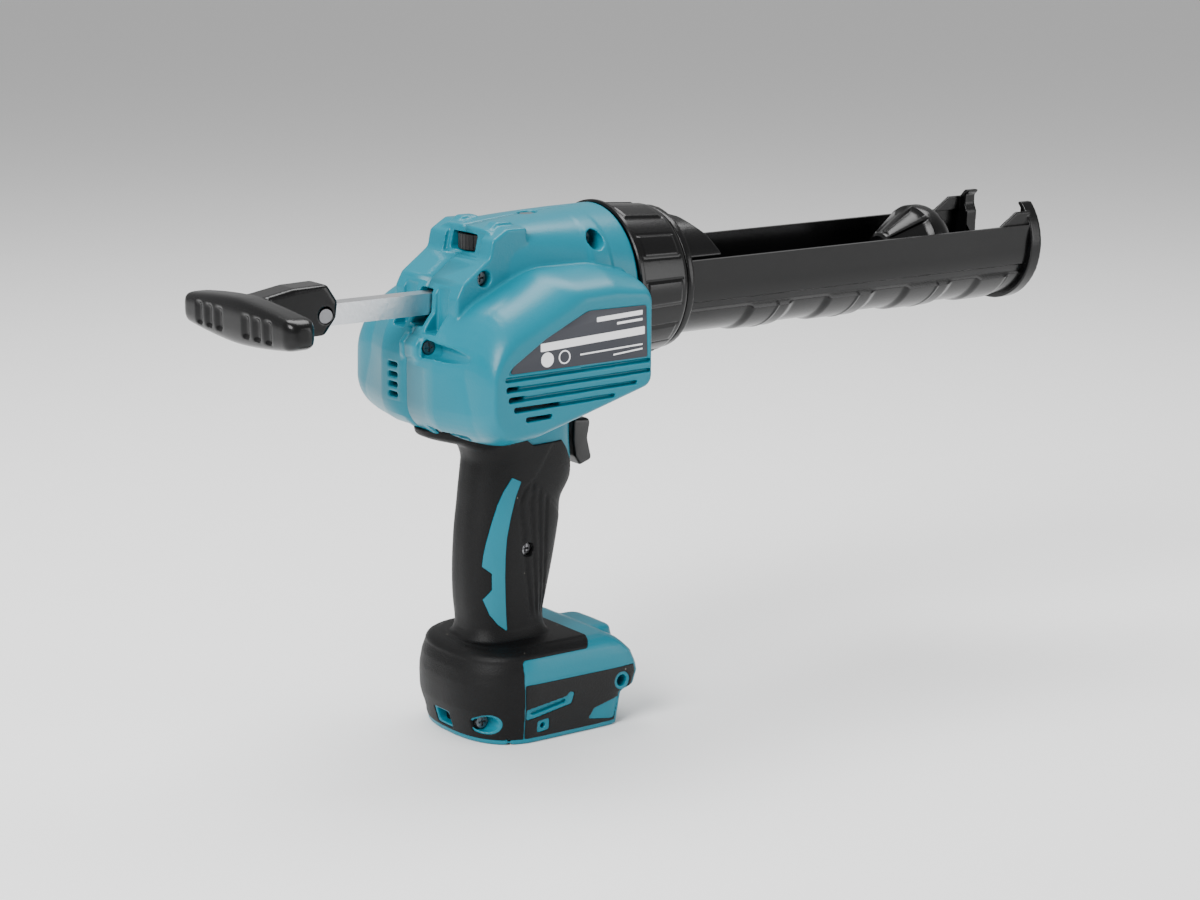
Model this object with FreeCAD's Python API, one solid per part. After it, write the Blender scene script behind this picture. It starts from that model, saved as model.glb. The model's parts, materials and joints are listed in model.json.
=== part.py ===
import FreeCAD, Part
import math
import os
from FreeCAD import Vector as V

# Cordless caulking gun, battery pack off.  Millimetres.
# +X runs forward to the nozzle, +Y to the left, +Z up.
# Every height below is measured from the cartridge axis; save() lifts each
# finished piece by AXIS_HEIGHT, so that the tool stands on z = 0.

# ---------------------------------------------------------------- dimensions
AXIS_HEIGHT = 204.6          # cartridge axis above the resting plane
WALL = 2.5                   # moulded shell thickness
COVER = 2.0                  # rubber and trim skins let into the shell
RUN = 0.3                    # gap between pieces that move past each other

# rack, piston and pull handle
RACK_HALF_WIDTH = 4.6
RACK_LIP = 0.9                      # side lips that hide the teeth
RACK_TOP = 4.2
RACK_REAR, RACK_FRONT = -112.0, 238.0
HANDLE_REAR, HANDLE_NECK_FRONT = -139.0, -90.6
HANDLE_BAR_LENGTH = 100.0
HANDLE_BAR_HEIGHT, HANDLE_BAR_DEPTH = 20.0, 15.0
NECK_HALF_WIDTH, NECK_LOW, NECK_HIGH = 8.5, -11.5, 11.5
HANDLE_SCREW_X, HANDLE_SCREW_Z, HANDLE_SCREW_R = -97.0, -0.5, 2.0
PISTON_REAR, PISTON_SHOULDER, PISTON_FRONT = 226.0, 246.0, 262.0
PISTON_R, PISTON_HUB_R = 21.5, 8.0
PISTON_SCREW_R = 2.4

# gear teeth
PRESSURE_ANGLE = math.radians(20)
ADDENDUM, DEDENDUM = 0.8, 1.25      # in modules
BACKLASH = 0.14
RACK_MODULE, RACK_PINION_TEETH = 1.25, 14
STAGE_1 = (12, 68, 0.5)             # motor pinion, idler gear, module
STAGE_2 = (12, 28, 1.0)             # idler pinion, second gear, module
STAGE_3 = (14, 40, 1.25)            # second pinion, final gear, module
FINAL_Y = (9.2, 15.0)
SECOND_Y = (18.5, 24.0)
FIRST_Y = (27.5, 33.0)

# axes of the drive, as (x, z)
RACK_PITCH_Z = -5.4 + ADDENDUM * RACK_MODULE
PINION_PITCH_R = RACK_MODULE * RACK_PINION_TEETH / 2
PINION_AXIS = (6.0, RACK_PITCH_Z - PINION_PITCH_R)
MOTOR_X = -23.0
STAGE_3_CENTRES = (STAGE_3[0] + STAGE_3[1]) * STAGE_3[2] / 2
MOTOR_AXIS = (MOTOR_X, PINION_AXIS[1]
              - math.sqrt(STAGE_3_CENTRES ** 2 - (PINION_AXIS[0] - MOTOR_X) ** 2))
STAGE_1_CENTRES = (STAGE_1[0] + STAGE_1[1]) * STAGE_1[2] / 2
IDLER_ANGLE = math.radians(18)
IDLER_AXIS = (MOTOR_AXIS[0] + STAGE_1_CENTRES * math.cos(IDLER_ANGLE),
              MOTOR_AXIS[1] + STAGE_1_CENTRES * math.sin(IDLER_ANGLE))

# motor
MOTOR_R, MOTOR_BACK, MOTOR_FACE = 18.5, -53.0, -8.8
SHAFT_R = 1.6
PINION_SHAFT_R = 4.0
PINION_HALF_WIDTH = 3.4
IDLER_PIN_R = 2.0

# body: drum across the tool, and the barrel in line with the cartridge
BODY_HALF_WIDTH = 59.3
CREASE_Y, SHOULDER_Y = 30.0, 51.0
DRUM_X, DRUM_Z, DRUM_R = -23.0, -31.5, 28.5
BODY_FRONT = 43.0
SPINE_HALF_WIDTH = 22.0
TOWER_HALF_WIDTH = 26.6

# nose, retaining ring and cartridge holder
NOSE_REAR, NOSE_FRONT, NOSE_R = 42.0, 74.0, 33.5
CUP_R, CUP_FLOOR = 24.6, 45.0
RING_REAR, RING_FRONT = 50.5, 80.0
RING_LIP_R, RING_REAR_R, RING_FRONT_R, RING_BORE_R = 38.9, 37.0, 35.2, 33.9
RING_MOUTH_R = 31.5
RING_PADS = 12
HOLDER_ROLL = math.degrees(0.0538)  # how far the holder is turned, right hand about +X
FLANGE_R = 34.2
TROUGH_R, TROUGH_INNER_R, RIM_HEIGHT = 28.4, 26.4, 11.8
TROUGH_FRONT, PLATE_FRONT = 303.0, 310.0
PLATE_R, PLATE_TOP, PLATE_SLOT = 31.0, 22.5, 18.6
RIB_PITCH, RIB_FIRST = 51.0, 138.0
GUSSET_REAR, GUSSET_TOP = 285.0, 18.5

# grip and base
GRIP_SECTIONS = (             # height, back, front, half width
    (-50.0, -30.0, 33.0, 18.6),
    (-70.0, -20.4, 33.0, 17.6),
    (-84.0, -21.8, 33.0, 17.4),
    (-97.0, -23.4, 27.6, 17.0),
    (-118.0, -25.8, 24.0, 16.8),
    (-142.0, -25.6, 18.2, 16.8),
    (-156.0, -24.4, 16.6, 17.4),
    (-168.0, -24.4, 22.0, 19.5))
BASE_SECTIONS = (             # height, back, front, half width
    (-204.6, -33.0, 40.5, 36.5),
    (-188.5, -37.6, 43.0, 38.0),
    (-185.5, -37.8, 49.0, 38.2),
    (-180.0, -38.0, 50.2, 38.2),
    (-172.0, -36.8, 48.6, 37.6),
    (-165.0, -34.0, 44.0, 36.0),
    (-161.0, -29.0, 38.0, 29.0))
BASE_WAIST_X = -5.0           # the plan is squarish ahead of this and round behind it
BASE_SEAM_X = -14.0
GRIP_COVER_TOP, GRIP_COVER_BOTTOM = -64.0, -160.5
BAY_REAR, BAY_TOP, BAY_HALF_WIDTH = -21.0, -188.0, 33.0
RAIL_Z, RAIL_HEIGHT, RAIL_DEPTH = -201.0, 3.0, 3.5

# switch and dial
TRIGGER_HALF_WIDTH = 8.0
DIAL_X, DIAL_R, DIAL_LOW, DIAL_HIGH = -8.0, 13.6, 21.8, 28.6

# screws that clamp the two shells, as (x, z, head depth y)
SHELL_SCREWS = (
    (-47.0, -19.0, -9.0), (-40.5, -55.4, -9.0), (-27.0, 12.0, -20.0),
    (31.0, 25.0, -18.0), (2.2, -118.5, -11.0), (40.0, -183.0, -24.0),
    (-28.0, -194.6, -20.0))
SCREW_R, SCREW_HEAD_R, SCREW_TAIL = 1.5, 3.0, 9.0
BOSS_R, SCREW_WELL_R = 4.2, 3.5


# ------------------------------------------------------------------- helpers
def save(name, shape):
    """Lift the piece to its standing height and write it as one STEP file."""
    shape = shape.copy()
    shape.translate(V(0, 0, AXIS_HEIGHT))
    shape.exportStep(os.path.join("parts", name + ".step"))
    print(f"{name}: {len(shape.Solids)} solid(s), {shape.Volume / 1000:.2f} cm3, "
          f"valid {shape.isValid()}")


def block(x0, x1, y0, y1, z0, z1):
    return Part.makeBox(x1 - x0, y1 - y0, z1 - z0, V(x0, y0, z0))


def rod_x(radius, x0, x1, y=0.0, z=0.0):
    return Part.makeCylinder(radius, x1 - x0, V(x0, y, z), V(1, 0, 0))


def rod_y(axis, radius, y0, y1):
    return Part.makeCylinder(radius, y1 - y0, V(axis[0], y0, axis[1]), V(0, 1, 0))


def rod_z(radius, x, y, z0, z1):
    return Part.makeCylinder(radius, z1 - z0, V(x, y, z0))


def cone_x(r0, r1, x0, x1):
    return Part.makeCone(r0, r1, x1 - x0, V(x0, 0, 0), V(1, 0, 0))


def side_plate(points, y0, y1):
    """Outline given as (x, z) points, extruded from y0 to y1."""
    corners = [V(x, y0, z) for x, z in points]
    face = Part.Face(Part.makePolygon(corners + corners[:1]))
    return face.extrude(V(0, y1 - y0, 0))


def cross_plate(points, x0, x1):
    """Outline given as (y, z) points, extruded from x0 to x1."""
    corners = [V(x0, y, z) for y, z in points]
    face = Part.Face(Part.makePolygon(corners + corners[:1]))
    return face.extrude(V(x1 - x0, 0, 0))


def fused(shapes):
    """One solid, joined a piece at a time."""
    whole = shapes[0]
    for shape in shapes[1:]:
        whole = whole.fuse(shape)
    return whole


def mirrored(shape):
    """The same piece on the other side of the middle plane."""
    return shape.mirror(V(0, 0, 0), V(0, 1, 0))


def rounded(power, count=32):
    """Unit superellipse, evenly turned: power 2 is a circle, higher is squarer."""
    ring = []
    for i in range(count):
        turn = 2 * math.pi * i / count
        c, s = math.cos(turn), math.sin(turn)
        ring.append((math.copysign(abs(c) ** (2 / power), c),
                     math.copysign(abs(s) ** (2 / power), s)))
    return ring


def closed_curve(points):
    curve = Part.BSplineCurve()
    curve.interpolate(points, PeriodicFlag=True)
    return Part.Wire(curve.toShape())


def level_section(height, back, front, half_width, power, inset=0.0):
    """Rounded outline in a level plane."""
    middle, half = (back + front) / 2, (front - back) / 2 - inset
    return closed_curve([V(middle + half * u, (half_width - inset) * v, height)
                         for u, v in rounded(power)])


def upright_section(x, half_width, low, high, power, inset=0.0):
    """Rounded outline in a plane across the tool."""
    middle, half = (low + high) / 2, (high - low) / 2 - inset
    return closed_curve([V(x, (half_width - inset) * u, middle + half * v)
                         for u, v in rounded(power)])


# --------------------------------------------------------------- gear shapes
def involute(angle):
    return math.tan(angle) - angle


def gear(axis, teeth, module, phase, y0, y1, flank_steps=4):
    """Involute gear about an axis along Y, with one tooth centred at the angle phase."""
    pitch_r = teeth * module / 2
    base_r = pitch_r * math.cos(PRESSURE_ANGLE)
    tip_r = pitch_r + ADDENDUM * module
    root_r = pitch_r - DEDENDUM * module
    half_tooth = math.pi / (2 * teeth) - BACKLASH / (2 * pitch_r)
    start_r = max(base_r, root_r + 0.02 * module)
    flank = [(root_r, half_tooth + involute(PRESSURE_ANGLE))]
    for i in range(flank_steps + 1):
        r = start_r + (tip_r - start_r) * i / flank_steps
        flank.append((r, half_tooth + involute(PRESSURE_ANGLE)
                      - involute(math.acos(min(1.0, base_r / r)))))
    outline = []
    for tooth in range(teeth):
        centre = phase + 2 * math.pi * tooth / teeth
        for r, half in flank:
            outline.append((r, centre - half))
        for r, half in reversed(flank):
            outline.append((r, centre + half))
    return side_plate([(axis[0] + r * math.cos(a), axis[1] + r * math.sin(a))
                       for r, a in outline], y0, y1)


def bearing_angle(start, end):
    return math.atan2(end[1] - start[1], end[0] - start[0])


def gear_pair(driver_axis, driven_axis, stage, layer):
    """Two gears in mesh: a tooth of the first stands in a gap of the second."""
    driver_teeth, driven_teeth, module = stage
    toward = bearing_angle(driver_axis, driven_axis)
    driver = gear(driver_axis, driver_teeth, module, toward, *layer)
    driven = gear(driven_axis, driven_teeth, module,
                  toward + math.pi + math.pi / driven_teeth, *layer)
    return driver, driven


def rack_bar():
    """Square bar with teeth on its underside, one of them over the pinion."""
    pitch = math.pi * RACK_MODULE
    tip = RACK_PITCH_Z - ADDENDUM * RACK_MODULE
    root = RACK_PITCH_Z + DEDENDUM * RACK_MODULE
    slope = math.tan(PRESSURE_ANGLE)
    half = pitch / 4 - BACKLASH / 2
    half_tip = half - ADDENDUM * RACK_MODULE * slope
    half_root = half + DEDENDUM * RACK_MODULE * slope
    first = math.ceil((HANDLE_NECK_FRONT + 4 - PINION_AXIS[0]) / pitch)
    last = math.floor((PISTON_REAR - 4 - PINION_AXIS[0]) / pitch)
    under = [(RACK_REAR, RACK_TOP), (RACK_REAR, tip),
             (PINION_AXIS[0] + (first - 0.5) * pitch, tip),
             (PINION_AXIS[0] + (first - 0.5) * pitch, root)]
    for k in range(first, last + 1):
        x = PINION_AXIS[0] + k * pitch
        under += [(x - half_root, root), (x - half_tip, tip),
                  (x + half_tip, tip), (x + half_root, root)]
    under += [(PINION_AXIS[0] + (last + 0.5) * pitch, root),
              (PINION_AXIS[0] + (last + 0.5) * pitch, tip),
              (RACK_FRONT, tip), (RACK_FRONT, RACK_TOP)]
    bar = side_plate(under, -RACK_HALF_WIDTH, RACK_HALF_WIDTH)
    lip = block(PINION_AXIS[0] + (first - 0.6) * pitch, PINION_AXIS[0] + (last + 0.6) * pitch,
                RACK_HALF_WIDTH - RACK_LIP, RACK_HALF_WIDTH, tip, root + 0.5)
    bar = fused([bar, lip, mirrored(lip)])
    screw_hole = rod_y((HANDLE_SCREW_X, HANDLE_SCREW_Z), HANDLE_SCREW_R, -10, 10)
    end_hole = rod_x(PISTON_SCREW_R, RACK_FRONT - 18, RACK_FRONT + 1)
    return bar.cut(screw_hole).cut(end_hole)


# ------------------------------------------------------------- outer volumes
def drum_profile(y, top_line, front_low, inset):
    """Side outline of the body in the plane y: top line, front, belly and round back."""
    rear_top = top_line[0]
    arc_start = V(DRUM_X, y, DRUM_Z - DRUM_R + inset)
    arc_middle = V(DRUM_X - DRUM_R + inset, y, DRUM_Z)
    arc_end = V(rear_top[0], y, rear_top[1])
    points = [V(x, y, z) for x, z in top_line] + [V(x, y, z) for x, z in front_low]
    edges = [Part.LineSegment(a, b).toShape() for a, b in zip(points, points[1:])]
    edges.append(Part.LineSegment(points[-1], arc_start).toShape())
    edges.append(Part.Arc(arc_start, arc_middle, arc_end).toShape())
    return Part.Wire(edges)


def drum_point(angle_degrees, inset):
    a = math.radians(angle_degrees)
    return (DRUM_X + (DRUM_R - inset) * math.cos(a), DRUM_Z + (DRUM_R - inset) * math.sin(a))


def half_drum(inset):
    """Left half of the wide part of the body, from the middle plane to its outer face."""
    front = BODY_FRONT - inset
    low = [(front, -38 + inset), (38 - inset / 2, -43 + inset), (9, -50.5 + inset)]
    inner_top = [drum_point(137, inset), (-30.7, -2 - inset), (-2, 14.2 - inset),
                 (24, 14.6 - inset), (front, 10 - inset)]
    outer_top = [drum_point(140, inset), (-28, -9 - inset), (4, 6 - inset),
                 (22, 6.4 - inset), (front, 4.5 - inset)]
    step = inset * 0.4
    face_top = [drum_point(143, inset + 5), (-25, -13 - step), (6, 1.5 - step),
                (22, 2 - step), (front - 4, 1 - step)]
    face_low = [(front - 4, -36 + inset), (36 - inset / 2, -39 + inset), (9, -46 + inset)]
    middle = drum_profile(0, inner_top, low, inset)
    crease = drum_profile(CREASE_Y - step, inner_top, low, inset)
    shoulder = drum_profile(SHOULDER_Y - step, outer_top, low, inset)
    face = drum_profile(BODY_HALF_WIDTH - inset, face_top, face_low, inset + 5)
    return Part.makeLoft([middle, crease, shoulder, face], True, True)


def barrel(inset):
    """Top of the body: squarish at the back, round where the ring meets it."""
    front = 50.0 + (1.0 if inset else 0.0)
    rear = -22.0 + inset
    rows = ((rear, 26.0, -18.0, 33.6, 5.0), (-11.0, 27.4, -20.0, 35.3, 4.2),
            (13.0, 31.0, -24.0, 36.2, 3.0), (38.0, 36.0, -34.0, 37.5, 2.2),
            (front, 37.2, -37.2, 37.8, 2.0))
    return Part.makeLoft([upright_section(*row, inset) for row in rows], True, False)


def tower(inset):
    """Sloping back of the body above the rack slot."""
    outline = [(-8, 31.5 - inset), (-19.5 + inset, 31.2 - inset), (-23.2 + inset, 19.4 - inset),
               (-38.6 + inset, 9.6 - inset), (-41.6 + inset, 5.6), (-42 + inset, -16), (-8, -20)]
    half = TOWER_HALF_WIDTH - inset
    return side_plate(outline, -half, half)


def spine(inset):
    """Flat-backed rear of the body between the two drum ends."""
    outline = [(-20, -12), (-47 + inset, -13 - inset), (-53.6 + inset, -17 - inset),
               (-52.4 + inset, -25), (-52 + inset, -36), (-48.8 + inset, -49.6),
               (-47.6 + inset, -56.6 + inset), (-40, -59.6 + inset), (-20, -59.6 + inset)]
    half = SPINE_HALF_WIDTH - inset
    return side_plate(outline, -half, half)


def grip(inset):
    rows = [level_section(*row, 2.8, inset) for row in GRIP_SECTIONS]
    return Part.makeLoft(rows, True, False)


def base_section(height, back, front, half_width, inset):
    """Plan outline of the base."""
    points = []
    for (u, v), (square_u, square_v) in zip(rounded(2.5), rounded(6.5)):
        if u > 0:
            u, v = square_u, square_v
        reach = (front - BASE_WAIST_X if u > 0 else BASE_WAIST_X - back) - inset
        points.append(V(BASE_WAIST_X + reach * u, (half_width - inset) * v, height))
    return closed_curve(points)


def base(inset):
    rows = [base_section(*row, inset) for row in BASE_SECTIONS]
    return Part.makeLoft(rows, True, True)


def body_volume(inset):
    left = half_drum(inset)
    return fused([left, mirrored(left), barrel(inset), tower(inset), spine(inset)])


# ------------------------------------------------------------------- shells
def skin_zones():
    """Where the rubber and trim skins lie: round the grip, round the back of the base, at its sides."""
    band = block(-80, 80, -60, 60, GRIP_COVER_BOTTOM, GRIP_COVER_TOP)
    rear = block(-80, BASE_SEAM_X, -60, 60, -202.6, GRIP_COVER_BOTTOM)
    panel = block(BASE_SEAM_X, 44, 30, 60, -202.6, -176.5)
    return band, rear, panel


def make_covers():
    """Grip cover, base cover and left base panel: skins let into the shells."""
    band, rear, panel = skin_zones()
    window = block(20, 60, -9.5, 9.5, -92, -60)
    grip_skin = grip(0).common(band).cut(grip(COVER)).cut(window)
    rear_skin = base(0).common(rear).cut(base(COVER)).cut(grip(0))
    side_skin = base(0).common(panel).cut(base(COVER))
    holes = [rod_y((x, z), SCREW_WELL_R + 0.8, -70, 0) for x, z, _ in SHELL_SCREWS]
    for hole in holes:
        grip_skin = grip_skin.cut(hole)
        rear_skin = rear_skin.cut(hole)
        side_skin = side_skin.cut(mirrored(hole))
    return grip_skin, rear_skin, side_skin


def outer_volume():
    """What the two shells fill before they are hollowed, with the skins' places left out."""
    band, rear, panel = skin_zones()
    grip_core = grip(COVER).common(band)
    grip_ends = grip(0).cut(band)
    base_rim = base(0).cut(rear).cut(panel).cut(mirrored(panel))
    volume = body_volume(0)
    for piece in (grip_core, grip_ends, base(COVER), base_rim):
        volume = volume.fuse(piece)
    return volume


def screw_cuts():
    """Clearance, head seat and access well of every shell screw."""
    cuts = []
    for x, z, head_y in SHELL_SCREWS:
        cuts.append(rod_y((x, z), SCREW_R, head_y, SCREW_TAIL))
        cuts.append(rod_y((x, z), SCREW_WELL_R, -70, head_y))
    return cuts


def make_shells():
    outer = outer_volume()
    rooms = [body_volume(WALL).common(block(-90, NOSE_REAR - 1, -90, 90, -90, 90)),
             grip(COVER + WALL).common(block(-90, 90, -90, 90, -164, -50)),
             base(COVER + WALL).common(block(-90, 90, -90, 90, -180, -163))]
    bosses = [outer.common(rod_y((x, z), BOSS_R, -48, SCREW_TAIL + 3)) for x, z, _ in SHELL_SCREWS]
    bay = block(BAY_REAR, 70, -BAY_HALF_WIDTH, BAY_HALF_WIDTH, -210, BAY_TOP)
    bay_room = block(BAY_REAR, 30, -26, 26, BAY_TOP - 0.1, -181)
    nose_seat = rod_x(NOSE_R, NOSE_REAR - 1.5, 60)
    rack_slot = block(-70, -30, -5.4, 5.4, -10.5, 6.0)
    dial_window = block(-40, DIAL_X, -10.4, 10.4, 21.0, 29.4)
    trigger_port = block(10, 50, -8.6, 8.6, -86.5, -61.0)
    top_well = rod_z(4.2, 13.3, 0, 33.6, 45)
    top_hole = rod_z(1.6, 13.3, 0, 20, 45)
    rear_vents = [block(-60, -40, 8, 17, z, z + 2.2) for z in (-28, -32.6, -37.2, -41.8)]
    side_vents = [side_plate([(x0, z), (x0 + n, z + 0.35), (x0 + n, z + 2.6), (x0, z + 2.2)],
                             -70, 70)
                  for x0, n, z in ((-36, 7, -32.5), (-35, 9, -37.3), (-33, 26, -42.2),
                                   (-27, 15, -46.6))]
    cuts = [bay, bay_room, nose_seat, rack_slot, dial_window, trigger_port, top_well, top_hole]
    cuts += rear_vents + side_vents
    whole = outer
    for cut in rooms:
        whole = whole.cut(cut)
    for boss in bosses:
        whole = whole.fuse(boss)
    for cut in cuts + screw_cuts():
        whole = whole.cut(cut)
    rails = block(BAY_REAR, 38, BAY_HALF_WIDTH - RAIL_DEPTH, BAY_HALF_WIDTH + 1,
                  RAIL_Z, RAIL_Z + RAIL_HEIGHT)
    whole = fused([whole, rails, mirrored(rails)])
    right = whole.common(block(-150, 150, -90, 0, -250, 90))
    left = whole.common(block(-150, 150, 0, 90, -250, 90))
    return right, left


def largest(shape):
    """The main solid, without the loose chips that a pocket leaves behind."""
    return max(shape.Solids, key=lambda s: s.Volume)


def make_screws():
    """Pan-head screws along Y, all the same length class."""
    screws = []
    for x, z, head_y in SHELL_SCREWS:
        shank = rod_y((x, z), SCREW_R, head_y, SCREW_TAIL - 0.2)
        head = rod_y((x, z), SCREW_HEAD_R, head_y - 2.2, head_y)
        recess = block(x - 0.5, x + 0.5, head_y - 3, head_y - 1, z - 2, z + 2)
        cross = block(x - 2, x + 2, head_y - 3, head_y - 1, z - 0.5, z + 0.5)
        screws.append(shank.fuse(head).cut(recess).cut(cross).removeSplitter())
    return Part.makeCompound(screws)


# -------------------------------------------------------------------- drive
FRAME_OUTLINE = ((-34.5, -8), (-34.5, 5.8), (39.5, 6.4), (39.5, -14), (31.0, -38.5), (14, -43.5),
                 (-26, -53.5), (-36, -47.5), (-44.5, -30), (-40, -15))
POSTS = ((-36.5, -13.5), (-30.5, -49.5), (28.5, -35.5), (36.3, -11))
OUTER_OUTLINE = ((-33, -10), (-29, -8), (22, -0.5), (25, -3), (26.5, -34), (23, -37.5),
                 (-27, -53), (-31, -51), (-40, -33))
OUTER_POSTS = ((-29.5, -11.5), (-27, -50), (23, -34), (22, -4))
POST_R = 2.5


def frame_plate(outline, y0, y1, holes):
    """Plate with its bearing holes, clear of the shells' screw bosses."""
    plate = side_plate(outline, y0, y1)
    bosses = [((x, z), BOSS_R + 0.5) for x, z, _ in SHELL_SCREWS]
    for axis, radius in holes + bosses:
        plate = plate.cut(rod_y(axis, radius, y0 - 1, y1 + 1))
    return plate


def make_gear_frame():
    """Four plates on posts: the rack and pinion run between the first two."""
    bush = (PINION_AXIS, 6.0)
    right = frame_plate(FRAME_OUTLINE, -8.5, -6.2, [bush, (MOTOR_AXIS, 6.0)])
    left = frame_plate(FRAME_OUTLINE, 6.2, 8.5, [bush, (MOTOR_AXIS, 3.0)])
    centre = fused([right, left] + [rod_y(p, POST_R, -7, 16.0) for p in POSTS])
    middle = frame_plate(FRAME_OUTLINE, 16.0, 17.5,
                         [(PINION_AXIS, 6.0), (MOTOR_AXIS, 5.2), (IDLER_AXIS, IDLER_PIN_R)])
    middle = fused([middle] + [rod_y(p, POST_R, 17, 36.0) for p in OUTER_POSTS])
    outer = frame_plate(OUTER_OUTLINE, 36.0, 38.0,
                        [(IDLER_AXIS, IDLER_PIN_R), (MOTOR_AXIS, 2.4)])
    return centre, middle, outer


def make_drive():
    motor_pinion, idler_gear = gear_pair(MOTOR_AXIS, IDLER_AXIS, STAGE_1, FIRST_Y)
    idler_pinion, second_gear = gear_pair(IDLER_AXIS, MOTOR_AXIS, STAGE_2, SECOND_Y)
    second_pinion, final_gear = gear_pair(MOTOR_AXIS, PINION_AXIS, STAGE_3, FINAL_Y)
    shaft = rod_y(MOTOR_AXIS, SHAFT_R, MOTOR_BACK + 3, 35.0)
    motor_pinion = motor_pinion.cut(rod_y(MOTOR_AXIS, SHAFT_R, 0, 40))
    idler_hub = rod_y(IDLER_AXIS, 4.0, SECOND_Y[1], FIRST_Y[0])
    first_idler = fused([idler_pinion, idler_hub, idler_gear])
    first_idler = first_idler.cut(rod_y(IDLER_AXIS, IDLER_PIN_R + 0.04, 10, 40))
    second_hub = rod_y(MOTOR_AXIS, 4.6, FINAL_Y[1], SECOND_Y[0])
    second_idler = fused([second_pinion, second_hub, second_gear])
    second_idler = second_idler.cut(rod_y(MOTOR_AXIS, SHAFT_R + 0.04, 5, 40))
    final_gear = final_gear.cut(rod_y(PINION_AXIS, PINION_SHAFT_R + 0.04, 5, 40))
    for k in range(6):
        a = 2 * math.pi * k / 6
        hole = (PINION_AXIS[0] + 15 * math.cos(a), PINION_AXIS[1] + 15 * math.sin(a))
        final_gear = final_gear.cut(rod_y(hole, 4.0, 5, 40))
    idler_pin = rod_y(IDLER_AXIS, IDLER_PIN_R, 16.0, 38.0)
    save("motor_shaft", shaft)
    save("motor_pinion", motor_pinion)
    save("first_idler_gear", first_idler)
    save("second_idler_gear", second_idler)
    save("final_gear", final_gear)
    save("idler_pin", idler_pin)


def make_pinion():
    teeth = gear(PINION_AXIS, RACK_PINION_TEETH, RACK_MODULE,
                 math.pi / 2 + math.pi / RACK_PINION_TEETH, -PINION_HALF_WIDTH, PINION_HALF_WIDTH)
    shaft = rod_y(PINION_AXIS, PINION_SHAFT_R, -9.6, 15.8)
    clips = [rod_y(PINION_AXIS, 5.4, 15.2, 15.8), rod_y(PINION_AXIS, 5.4, -9.6, -8.8)]
    bushes = []
    for y0, y1 in ((-8.5, -6.2), (6.2, 8.5)):
        bushes.append(rod_y(PINION_AXIS, 6.0, y0, y1).cut(
            rod_y(PINION_AXIS, PINION_SHAFT_R + 0.04, y0 - 1, y1 + 1)))
    save("rack_pinion", teeth.cut(rod_y(PINION_AXIS, PINION_SHAFT_R, -6, 6)))
    save("pinion_shaft", fused([shaft] + clips))
    save("pinion_bushes", Part.makeCompound(bushes))


def make_motor():
    can = rod_y(MOTOR_AXIS, MOTOR_R, MOTOR_BACK + 4, MOTOR_FACE)
    can = can.cut(rod_y(MOTOR_AXIS, MOTOR_R - 1.4, MOTOR_BACK, MOTOR_FACE - 1.8))
    can = can.cut(rod_y(MOTOR_AXIS, 3.4, MOTOR_BACK, MOTOR_FACE + 1))
    can = can.fuse(rod_y(MOTOR_AXIS, 5.6, MOTOR_FACE, -6.4).cut(
        rod_y(MOTOR_AXIS, SHAFT_R + 0.04, MOTOR_FACE - 1, 0))).fuse(
        rod_y(MOTOR_AXIS, 5.6, MOTOR_FACE - 1.8, MOTOR_FACE).cut(
            rod_y(MOTOR_AXIS, SHAFT_R + 0.04, MOTOR_FACE - 3, 0)))
    magnets = []
    for side in (-1, 1):
        ring = rod_y(MOTOR_AXIS, MOTOR_R - 1.5, MOTOR_BACK + 16, MOTOR_FACE - 5.8)
        ring = ring.cut(rod_y(MOTOR_AXIS, 13.2, MOTOR_BACK, 0))
        low = MOTOR_AXIS[1] + (3 if side > 0 else -30)
        magnets.append(ring.common(block(-60, 20, -60, 0, low, low + 27)))
    cap = rod_y(MOTOR_AXIS, MOTOR_R, MOTOR_BACK, MOTOR_BACK + 4)
    cap = cap.cut(rod_y(MOTOR_AXIS, SHAFT_R + 0.04, MOTOR_BACK + 2, MOTOR_BACK + 5))
    brushes = [block(MOTOR_AXIS[0] + s * 9.4 - 3, MOTOR_AXIS[0] + s * 9.4 + 3,
                     MOTOR_BACK + 7, MOTOR_BACK + 12, MOTOR_AXIS[1] - 2.4, MOTOR_AXIS[1] + 2.4)
               for s in (-1, 1)]
    core = rod_y(MOTOR_AXIS, 12.4, MOTOR_BACK + 17, MOTOR_FACE - 6)
    for k in range(5):
        a = 2 * math.pi * k / 5
        slot = (MOTOR_AXIS[0] + 11.4 * math.cos(a), MOTOR_AXIS[1] + 11.4 * math.sin(a))
        core = core.cut(rod_y(slot, 2.2, MOTOR_BACK, 0))
    commutator = rod_y(MOTOR_AXIS, 6.0, MOTOR_BACK + 6.5, MOTOR_BACK + 15)
    bore = rod_y(MOTOR_AXIS, SHAFT_R, MOTOR_BACK, 0)
    fan = rod_y(MOTOR_AXIS, 5.0, MOTOR_FACE - 5.4, MOTOR_FACE - 2.4)
    for k in range(8):
        blade = block(4.0, 14.5, MOTOR_FACE - 5.2, MOTOR_FACE - 2.8, -0.6, 0.6)
        blade.rotate(V(0, 0, 0), V(0, 1, 0), 45 * k)
        blade.translate(V(MOTOR_AXIS[0], 0, MOTOR_AXIS[1]))
        fan = fan.fuse(blade)
    save("motor_can", can.removeSplitter())
    save("motor_magnets", Part.makeCompound(magnets))
    save("motor_end_cap", cap)
    save("motor_brushes", Part.makeCompound(brushes))
    save("armature_core", core.cut(bore))
    save("commutator", commutator.cut(bore))
    save("motor_fan", fan.cut(bore).removeSplitter())


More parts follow.
